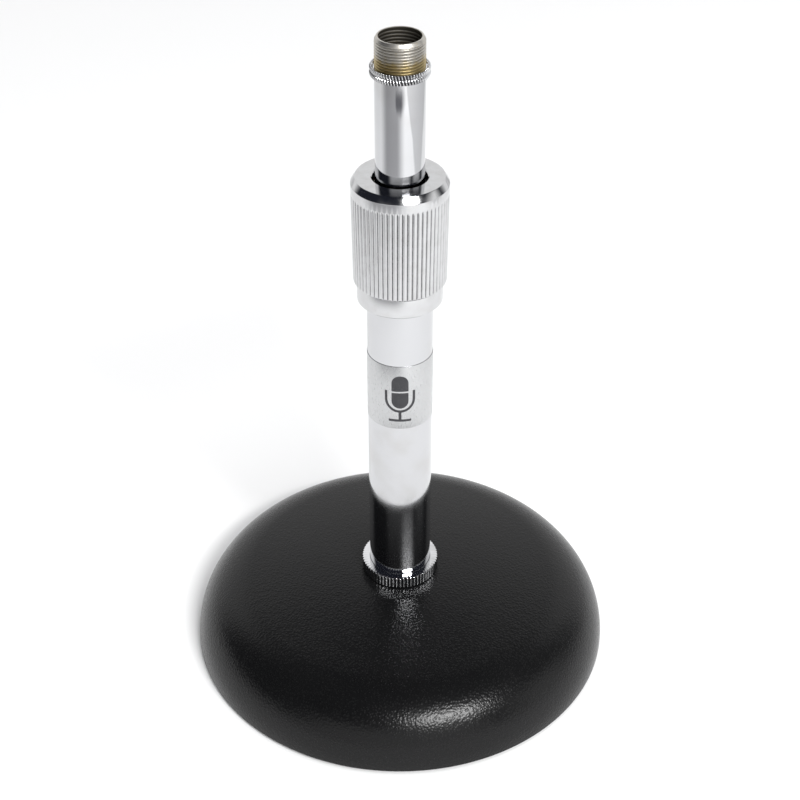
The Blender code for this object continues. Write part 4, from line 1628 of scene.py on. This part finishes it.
@dataclass
class TwistClutch:
    """The clutch: a threaded body with a tapered seat, a split collet, a washer and a grip."""

    tube_bore: float = 0.01141
    running_bore: float = 0.00824
    thread_wall: float = 0.00149
    collar_height: float = 0.0067
    thread_pitch: float = 0.0015
    thread_depth: float = 0.00055
    rows_per_turn: int = 14
    seat_height: float = 0.0075
    seat_step: float = 0.0032
    seat_lip: float = 0.0010
    seat_small: float = 0.0094
    gap: float = 0.0003
    collet_split: float = 0.0020
    washer_bore: float = 0.0085
    sleeve_bore: float = 0.0132
    sleeve_mouth: float = 0.00892
    sleeve_taper: float = 0.00041
    sleeve_chamfer_width: float = 0.00144
    sleeve_chamfer_height: float = 0.0022
    sleeve_band: float = 0.0034
    sleeve_top_wall: float = 0.0070
    sleeve_teeth: int = 60
    sleeve_tooth_depth: float = 0.0005
    sleeve_narrowness: float = 0.52
    ridge_end: Point = (0.0014, 0.0006)
    ridge_end_spacing: float = 0.0001
    ridge_spacing: float = 0.0025
    plating: SatinPlating = field(default_factory=SatinPlating)
    nylon: NaturalNylon = field(default_factory=NaturalNylon)
    steel: OiledSpringSteel = field(default_factory=OiledSpringSteel)

    def build_body(self) -> bpy.types.Object:
        """The collar, male thread and tapered seat in one.

        Returns:
            The finished piece.
        """
        span = Span.of("clutch_body")
        thread = self.tube_bore + self.thread_wall
        collar_top = span.low + self.collar_height
        seat_low = span.high - self.seat_height
        stop = seat_low - self.seat_step
        corners: list[Corner] = [
            (self.tube_bore, span.low, 0.0002),
            (span.radius, span.low, 0.0003),
            (span.radius, collar_top, 0.0003),
            (thread - self.thread_depth, collar_top, 0.0002),
            (thread - self.thread_depth, collar_top + 0.0012, 0.0),
            (thread, collar_top + 0.0018, 0.0),
            (thread, span.high - 0.0006, 0.0),
            (thread - 0.0006, span.high, 0.0),
            (thread - self.seat_lip, span.high, 0.0002),
            (self.seat_small, seat_low, 0.0004),
            (self.running_bore, seat_low, 0.0003),
            (self.running_bore, stop, 0.0),
            (self.tube_bore, stop, 0.0003),
        ]
        low = collar_top + 0.0001
        spacing = self.thread_pitch / self.rows_per_turn
        section = with_rows(rounded(corners), low, span.high, spacing)
        cut = ThreadCut(
            pitch=self.thread_pitch,
            depth=self.thread_depth,
            low=low,
            high=span.high + PAST_END,
            low_crest=thread,
            high_crest=thread,
        )
        turning = Turning(steps=216)
        body = turned_piece("clutch_collar", section, self.plating, turning, [cut])
        return hand_over(body, Body.STAND, ["clutch_body"])

    def build_collet(self) -> bpy.types.Object:
        """The split nylon ring that grips the upper tube.

        Returns:
            The finished piece.
        """
        span = Span.of("clutch_collet")
        seat_top = Span.of("clutch_body").high
        seat_low = seat_top - self.seat_height
        large = self.tube_bore + self.thread_wall - self.seat_lip
        share = (span.low - seat_low) / self.seat_height
        foot = self.seat_small + (large - self.seat_small) * share - self.gap
        corners: list[Corner] = [
            (self.running_bore, span.low, 0.0002),
            (foot, span.low, 0.0003),
            (large - self.gap, seat_top, 0.0008),
            (large - self.gap, span.high, 0.0004),
            (self.running_bore, span.high, 0.0004),
        ]
        split = 2 * math.asin(self.collet_split / 2 / self.running_bore)
        turning = Turning(160, math.pi + split / 2, FULL_TURN - split)
        collet = turned_piece("clutch_collet_split", rounded(corners), self.nylon, turning)
        return hand_over(collet, Body.COLLET, ["clutch_collet"])

    def build_washer(self) -> bpy.types.Object:
        """The steel thrust washer.

        Returns:
            The finished piece.
        """
        span = Span.of("clutch_washer")
        corners: list[Corner] = [
            (self.washer_bore, span.low, 0.00015),
            (span.radius, span.low, 0.00035),
            (span.radius, span.high, 0.00015),
            (self.washer_bore, span.high, 0.00035),
        ]
        washer = turned_piece("clutch_thrust_washer", rounded(corners), self.steel)
        return hand_over(washer, Body.THRUST, ["clutch_washer"])

    def build_sleeve(self) -> bpy.types.Object:
        """The grip: rounded ridges below, a smooth band and a chamfered mouth above.

        Returns:
            The finished piece.
        """
        span = Span.of("clutch_sleeve")
        grip = span.radius - self.sleeve_taper
        chamfer_low = span.high - self.sleeve_chamfer_height
        ridge_top = chamfer_low - self.sleeve_band
        ceiling = span.high - self.sleeve_top_wall
        flat = span.radius - self.sleeve_chamfer_width
        corners: list[Corner] = [
            (self.sleeve_bore, span.low, 0.0003),
            (grip, span.low, 0.0008),
            (span.radius, ridge_top + self.sleeve_tooth_depth, 0.0),
            (span.radius, chamfer_low, 0.00035),
            (flat, span.high, 0.00022),
            (self.sleeve_mouth + 0.0004, span.high, 0.0),
            (self.sleeve_mouth, span.high - 0.0004, 0.0),
            (self.sleeve_mouth, ceiling, 0.0002),
            (self.sleeve_bore, ceiling, 0.0008),
        ]
        section = rounded(corners, steps=7)
        below, above = self.ridge_end
        ends = (ridge_top - below, ridge_top + above)
        section = with_rows(section, *ends, self.ridge_end_spacing)
        section = with_rows(section, span.low, ridge_top, self.ridge_spacing)
        knurl = KnurlCut(
            teeth=self.sleeve_teeth,
            narrowness=self.sleeve_narrowness,
            depth=self.sleeve_tooth_depth,
            low=span.low - PAST_END,
            high=ridge_top + self.sleeve_tooth_depth,
            high_fade=0.0009,
            low_crest=grip,
            high_crest=span.radius,
        )
        turning = Turning(steps=self.sleeve_teeth * STEPS_PER_TOOTH)
        sleeve = turned_piece("clutch_grip", section, self.plating, turning, [knurl])
        return hand_over(sleeve, Body.GRIP, ["clutch_sleeve"])

    def build(self) -> list[bpy.types.Object]:
        """Builds the clutch's pieces."""
        return [self.build_body(), self.build_collet(), self.build_washer(), self.build_sleeve()]


@dataclass
class UpperColumn:
    """The plated upper tube, and the bush and snap rings that keep it in the lower one."""

    wall: float = 0.0012
    groove_depth: float = 0.00064
    gap: float = 0.0003
    running_bore: float = 0.00824
    clip_opening: float = 0.0030
    plain_start: float = 0.02
    plating: BrightPlating = field(default_factory=BrightPlating)
    nylon: NaturalNylon = field(default_factory=NaturalNylon)
    steel: OiledSpringSteel = field(default_factory=OiledSpringSteel)

    def build_tube(self) -> bpy.types.Object:
        """The upper tube, with a groove for each snap ring.

        Returns:
            The finished piece.
        """
        span = Span.of("inner_tube")
        bore = span.radius - self.wall
        groove = span.radius - self.groove_depth
        corners: list[Corner] = [(bore, span.low, 0.0003), (span.radius, span.low, 0.0003)]
        for node in ("bush_clip_lower", "bush_clip_upper"):
            clip = Span.of(node)
            low, high = clip.low - self.gap, clip.high + self.gap
            corners += [
                (span.radius, low, 0.00008),
                (groove, low, 0.0001),
                (groove, high, 0.0001),
                (span.radius, high, 0.00008),
            ]
        corners += [(span.radius, span.high, 0.0003), (bore, span.high, 0.0002)]
        start = span.low + self.plain_start
        section = with_rows(rounded(corners), start, span.high, TUBE_ROW_SPACING)
        tube = turned_piece("upper_tube", section, self.plating, Turning(steps=216))
        return hand_over(tube, Body.MAST, ["inner_tube"])

    def build_bush(self) -> bpy.types.Object:
        """The nylon bush, with a shallow grease groove at each end.

        Returns:
            The finished piece.
        """
        span = Span.of("guide_bush")
        groove = span.radius - 0.0003
        corners: list[Corner] = [
            (self.running_bore, span.low, 0.0002),
            (span.radius, span.low, 0.0004),
        ]
        for middle in (span.low + 0.0035, span.high - 0.0035):
            corners += [
                (span.radius, middle - 0.0008, 0.0001),
                (groove, middle - 0.0005, 0.0002),
                (groove, middle + 0.0005, 0.0002),
                (span.radius, middle + 0.0008, 0.0001),
            ]
        corners += [(span.radius, span.high, 0.0004), (self.running_bore, span.high, 0.0002)]
        bush = turned_piece("column_bush", rounded(corners), self.nylon, Turning(steps=160))
        return hand_over(bush, Body.MAST, ["guide_bush"])

    def build_clip(self, node: str, name: str) -> bpy.types.Object:
        """One snap ring.

        Args:
            node: the CAD node that it stands for.
            name: the piece's name.

        Returns:
            The piece.
        """
        span = Span.of(node)
        bore = Span.of("inner_tube").radius - self.groove_depth + self.gap
        corners: list[Corner] = [
            (bore, span.low, 0.0003),
            (span.radius, span.low, 0.0003),
            (span.radius, span.high, 0.0003),
            (bore, span.high, 0.0003),
        ]
        split = 2 * math.asin(self.clip_opening / 2 / span.radius)
        turning = Turning(140, math.pi + split / 2, FULL_TURN - split)
        clip = turned_piece(name, rounded(corners), self.steel, turning)
        return hand_over(clip, Body.MAST, [node])

    def build(self) -> list[bpy.types.Object]:
        """Builds the upper column's pieces.

        Returns:
            The pieces.
        """
        clips = [
            self.build_clip("bush_clip_lower", "snap_ring_lower"),
            self.build_clip("bush_clip_upper", "snap_ring_upper"),
        ]
        return [self.build_tube(), self.build_bush(), *clips]


@dataclass
class ThreadedTop:
    """The threaded end piece and the knurled ring on it."""

    pitch: float = 0.0254 / 27
    thread_depth: float = 0.00055
    rows_per_turn: int = 16
    crown: tuple[float, float] = (0.0007, 0.0012)
    spigot_height: float = 0.0112
    shank_wall: float = 0.00114
    tube_wall: float = 0.0012
    gap: float = 0.0003
    mouth_wall: float = 0.00134
    mouth_depth: float = 0.0090
    mouth_pitch: float = 0.0011
    mouth_thread_depth: float = 0.00012
    ring_bore: float = 0.00824
    ring_groove: float = 0.00055
    ring_shoulder: float = 0.00035
    ring_countersink: float = 0.0007
    ring_teeth: int = 60
    ring_tooth_depth: float = 0.00055
    ring_narrowness: float = 1.9
    ring_lean: float = 24.0
    ring_row_spacing: float = 0.00012
    brass: WornThreadPlating = field(default_factory=WornThreadPlating)
    plating: KnurledPlating = field(default_factory=KnurledPlating)

    def build_fitting(self) -> bpy.types.Object:
        """The end piece: a shank in the upper tube and a threaded spigot above it.

        Returns:
            The finished piece.
        """
        span = Span.of("thread_fitting")
        shank = span.radius - self.tube_wall - self.gap
        shank_bore = shank - self.shank_wall
        mouth = span.radius - self.mouth_wall
        foot = span.high - self.spigot_height
        mouth_low = span.high - self.mouth_depth
        root = span.radius - self.thread_depth
        inset, drop = self.crown
        corners: list[Corner] = [
            (shank_bore, span.low, 0.0003),
            (shank, span.low, 0.0004),
            (shank, foot, 0.0001),
            (root, foot, 0.0001),
            (root, foot + 0.0004, 0.0),
            (span.radius, foot + 0.0008, 0.0),
            (span.radius, span.high - drop, 0.0010),
            (span.radius - inset, span.high, 0.0002),
            (mouth + 0.0002, span.high, 0.0001),
            (mouth, span.high - 0.0002, 0.0),
            (mouth, mouth_low, 0.0002),
            (shank_bore, mouth_low, 0.0003),
        ]
        spacing = self.pitch / self.rows_per_turn
        section = with_rows(rounded(corners, steps=3), foot + 0.0002, span.high, spacing)
        outside = ThreadCut(
            pitch=self.pitch,
            depth=self.thread_depth,
            low=foot + 0.0001,
            high=span.high - 0.0007,
            high_fade=0.0008,
            low_crest=span.radius,
            high_crest=span.radius,
        )
        inside = ThreadCut(
            pitch=self.mouth_pitch,
            depth=self.mouth_thread_depth,
            low=mouth_low + 0.0003,
            high=span.high - 0.0005,
            low_fade=0.0004,
            high_fade=0.0003,
            low_crest=mouth,
            high_crest=mouth,
            inward=False,
        )
        cuts = [inside, outside]
        turning = Turning(steps=216)
        fitting = turned_piece(
            "threaded_spigot", section, self.brass, turning, cuts, sharp_angle=None
        )
        return hand_over(fitting, Body.MAST, ["thread_fitting"])

    def build_ring(self) -> bpy.types.Object:
        """The ring: two rows of beads with a V groove between them, and a countersunk bore.

        Returns:
            The finished piece.
        """
        span = Span.of("thread_ring")
        middle = (span.low + span.high) / 2
        bead = (span.high - span.low) / 4
        sink = self.ring_countersink
        corners: list[Corner] = [
            (self.ring_bore, span.low, 0.0001),
            (span.radius - self.ring_shoulder, span.low, 0.0002),
            (span.radius, middle - bead, 0.0011),
            (span.radius - self.ring_groove, middle, 0.00008),
            (span.radius, middle + bead, 0.0011),
            (span.radius - self.ring_shoulder, span.high, 0.0002),
            (self.ring_bore + sink, span.high, 0.0001),
            (self.ring_bore, span.high - sink, 0.0001),
        ]
        spacing = self.ring_row_spacing
        section = with_rows(rounded(corners, steps=7), span.low, span.high, spacing)
        knurl = KnurlCut(
            teeth=self.ring_teeth,
            narrowness=self.ring_narrowness,
            lean=self.ring_lean,
            core=self.ring_bore + sink + 0.00015,
            depth=self.ring_tooth_depth,
            low=span.low - PAST_END,
            high=span.high + PAST_END,
            low_crest=span.radius,
            high_crest=span.radius,
        )
        turning = Turning(steps=self.ring_teeth * STEPS_PER_TOOTH)
        ring = turned_piece("thread_ring_knurled", section, self.plating, turning, [knurl])
        return hand_over(ring, Body.RING, ["thread_ring"])

    def build(self) -> list[bpy.types.Object]:
        """Builds the threaded top's pieces."""
        return [self.build_fitting(), self.build_ring()]


# ---- studio ------------------------------------------------------------------------------------


@dataclass(frozen=True)
class FloorShade(Finish):
    """Soft grey shade on a card on the floor, clear where it is left out."""

    name: str = "floor_shade"
    stripe_angle: float = math.radians(-36)
    stripe_flat: float = math.radians(20)
    stripe_soft: float = math.radians(62)
    stripe_share: float = 0.66
    stripe_near: float = 0.20
    stripe_far: float = 0.40
    stop_angle: float = math.radians(-5)
    stop_half: float = math.radians(22)
    stop_share: float = 0.95
    stop_near: float = 0.44
    stop_far: float = 0.62
    stop_neck: float = 0.3
    stop_core: float = 0.5
    stop_fringe: float = 1.4
    stop_end: tuple[float, float] = (0.68, 0.80)
    stop_left: float = 0.35
    side_edge: float = 0.36
    side_blur: float = 0.01
    side_share: float = 0.34
    tone: Colour = (0.06, 0.06, 0.07, 1.0)

    def wire(self, bench: NodeBench, shader: Node, place: Socket) -> None:
        """Feeds the shader with a soft stripe to the left, a dark stop and a paler right side.

        Args:
            bench: the material's tree.
            shader: its Principled BSDF.
            place: the point on the piece, in metres.
        """
        x, y, _ = bench.add("ShaderNodeSeparateXYZ", {0: place}).outputs
        far = bench.add("ShaderNodeVectorMath", {0: place}, operation="LENGTH").outputs["Value"]
        angle = bench.sum("ARCTAN2", x, bench.sum("MULTIPLY", y, -1.0))
        aside = bench.sum("ABSOLUTE", bench.sum("SUBTRACT", angle, self.stripe_angle))
        stripe = bench.ranged(aside, self.stripe_soft, self.stripe_flat, smooth=True)
        depth = bench.ranged(far, self.stripe_near, self.stripe_far, smooth=True)
        stripe = bench.sum("MULTIPLY", bench.sum("MULTIPLY", stripe, depth), self.stripe_share)
        widening = bench.ranged(far, self.stop_near, self.stop_far, self.stop_neck, 1.0)
        edge = bench.sum("MULTIPLY", widening, self.stop_half)
        ahead = bench.ranged(
            bench.sum("ABSOLUTE", bench.sum("SUBTRACT", angle, self.stop_angle)),
            bench.sum("MULTIPLY", edge, self.stop_fringe),
            bench.sum("MULTIPLY", edge, self.stop_core),
        )
        come = bench.ranged(far, self.stop_near, self.stop_far, smooth=True)
        go = bench.ranged(far, *self.stop_end, 1.0, self.stop_left, smooth=True)
        reach = bench.sum("MULTIPLY", bench.sum("MULTIPLY", come, go), self.stop_share)
        stop = bench.sum("MULTIPLY", ahead, reach)
        side_start, side_end = self.side_edge - self.side_blur, self.side_edge + self.side_blur
        side = bench.ranged(x, side_start, side_end, 0.0, self.side_share)
        shade = bench.sum("MAXIMUM", bench.sum("MAXIMUM", stripe, stop), side)
        shader.inputs["Base Color"].default_value = self.tone
        shader.inputs["Roughness"].default_value = 1.0
        shader.inputs["Specular IOR Level"].default_value = 0.0
        bench.feed(shader.inputs["Alpha"], shade)


def annular_card(name: str, near: float, far: float, height: float, sides: int) -> bpy.types.Object:
    """Makes a flat ring that lies level.

    Args:
        name: its name.
        near: its inner radius.
        far: its outer radius.
        height: its height above the floor.
        sides: how many sides each circle has.

    Returns:
        The ring.
    """
    bm = bmesh.new()
    rings = []
    for radius in (near, far):
        circle = arc((0.0, 0.0), radius, 0.0, FULL_TURN, sides)[:-1]
        rings.append([bm.verts.new((x, y, height)) for x, y in circle])
    for i in range(sides):
        after = (i + 1) % sides
        bm.faces.new((rings[0][i], rings[1][i], rings[1][after], rings[0][after]))
    mesh = bpy.data.meshes.new(name)
    bm.to_mesh(mesh)
    bm.free()
    return object_of(name, mesh)


@dataclass
class Studio:
    """A pale floor, soft lights and the camera."""

    floor_half: float = 8.0
    paper: StudioPaper = field(default_factory=StudioPaper)
    card: FloorShade = field(default_factory=FloorShade)
    card_near: float = 0.18
    card_far: float = 1.6
    card_height: float = 0.0015
    card_sides: int = 96
    sun_strength: float = 1.49
    sun_angle: float = math.radians(70)
    sun_tilt: tuple[float, float, float] = (math.radians(8), math.radians(6), 0.0)
    box_distance: float = 2.2
    box_azimuth: float = math.radians(28)
    box_elevation: float = math.radians(41.5)
    box_size: tuple[float, float] = (0.98, 0.25)
    box_power: float = 46.0
    camera_place: tuple[float, float, float] = (0.0, -0.45323, 0.42794)
    camera_pitch: float = math.radians(35.519)
    camera_lens: float = 72.374
    camera_sensor: float = 36.0
    camera_clip: float = 0.01
    pale: Colour = (1.0, 1.0, 1.0, 1.0)
    dark: Colour = (0.018, 0.020, 0.028, 1.0)
    walls: tuple[tuple[float, float, float, float], ...] = (
        (0.0, 200.0, 0.12, 0.04),
        (0.0, 46.0, 0.45, 0.14),
        (80.0, 18.0, 0.46, 0.08),
        (180.0, 62.0, 0.74, 0.10),
    )
    wall_blur: float = math.radians(12)

    def build_floor(self) -> bpy.types.Object:
        """The floor, a large sheet of paper.

        Returns:
            The floor.
        """
        bm = bmesh.new()
        bmesh.ops.create_grid(bm, x_segments=8, y_segments=8, size=self.floor_half)
        mesh = bpy.data.meshes.new("studio_floor")
        bm.to_mesh(mesh)
        bm.free()
        floor = object_of("studio_floor", mesh)
        mesh.materials.append(self.paper.build())
        return floor

    def build_world(self) -> None:
        """Pale walls of several heights under a dark ceiling."""
        world = bpy.data.worlds.new("studio_walls")
        world.use_nodes = True
        bpy.context.scene.world = world
        bench = NodeBench(world.node_tree)
        sky = next(n for n in world.node_tree.nodes if n.type == "BACKGROUND")
        direction = bench.add("ShaderNodeTexCoord").outputs["Generated"]
        x, y, rise = bench.add("ShaderNodeSeparateXYZ", {0: direction}).outputs
        angle = bench.sum("ARCTAN2", x, bench.sum("MULTIPLY", y, -1.0))
        share: Any = 0.0
        for middle, half, top, blur in self.walls:
            turn = bench.sum("SUBTRACT", angle, math.radians(middle))
            turn = bench.sum("ABSOLUTE", bench.sum("WRAP", turn, math.pi, -math.pi))
            near, far = math.radians(half) - self.wall_blur, math.radians(half) + self.wall_blur
            across = bench.ranged(turn, near, far, 1.0, 0.0, smooth=True)
            up = bench.ranged(rise, top - blur, top + blur, 1.0, 0.0, smooth=True)
            share = bench.sum("MAXIMUM", share, bench.sum("MULTIPLY", across, up))
        bench.feed(sky.inputs["Color"], bench.mixed(share, self.dark, self.pale))
        sky.inputs["Strength"].default_value = 1.0

    def build_card(self) -> bpy.types.Object:
        """A grey card lying in front of the stand, which only reflections show.

        Returns:
            The card.
        """
        sizes = (self.card_near, self.card_far, self.card_height, self.card_sides)
        card = annular_card("reflection_card", *sizes)
        card.data.materials.append(self.card.build())
        card.visible_camera = False
        card.visible_diffuse = False
        card.visible_shadow = False
        return card

    def build_lights(self) -> None:
        """A wide soft light overhead, and a softbox in front and to the right."""
        sun = bpy.data.lights.new("overhead_light", "SUN")
        sun.energy = self.sun_strength
        sun.angle = self.sun_angle
        overhead = bpy.data.objects.new("overhead_light", sun)
        overhead.rotation_euler = self.sun_tilt
        overhead.visible_glossy = False
        bpy.context.scene.collection.objects.link(overhead)
        box = bpy.data.lights.new("softbox", "AREA")
        box.shape = "RECTANGLE"
        box.size, box.size_y = self.box_size
        box.energy = self.box_power
        softbox = bpy.data.objects.new("softbox", box)
        level = math.cos(self.box_elevation)
        across, back = math.sin(self.box_azimuth) * level, -math.cos(self.box_azimuth) * level
        away = Vector((across, back, math.sin(self.box_elevation)))
        softbox.location = away * self.box_distance
        softbox.rotation_euler = away.to_track_quat("Z", "Y").to_euler()
        bpy.context.scene.collection.objects.link(softbox)

    def build_camera(self) -> None:
        """The camera, in front of the stand and looking down on it."""
        lens = bpy.data.cameras.new("camera")
        lens.lens = self.camera_lens
        lens.sensor_width = self.camera_sensor
        lens.clip_start = self.camera_clip
        camera = bpy.data.objects.new("camera", lens)
        camera.location = self.camera_place
        camera.rotation_euler = (math.pi / 2 - self.camera_pitch, 0.0, 0.0)
        bpy.context.scene.collection.objects.link(camera)
        bpy.context.scene.camera = camera
        bpy.context.scene.view_settings.view_transform = "Standard"

    def build(self) -> None:
        """Builds the studio round the stand."""
        self.build_floor()
        self.build_card()
        self.build_world()
        self.build_lights()
        self.build_camera()


def main() -> None:
    """Builds the stand from the floor up, then the studio, and reports each piece."""
    logging.basicConfig(level=logging.INFO, format="%(name)s: %(message)s")
    for assembly in (WeightedBase(), LowerColumn(), TwistClutch(), UpperColumn(), ThreadedTop()):
        for piece in assembly.build():
            faces = len(piece.data.polygons)
            log.info("%s built %s, %d faces", type(assembly).__name__, piece.name, faces)
    Studio().build()


if __name__ == "__main__":
    main()
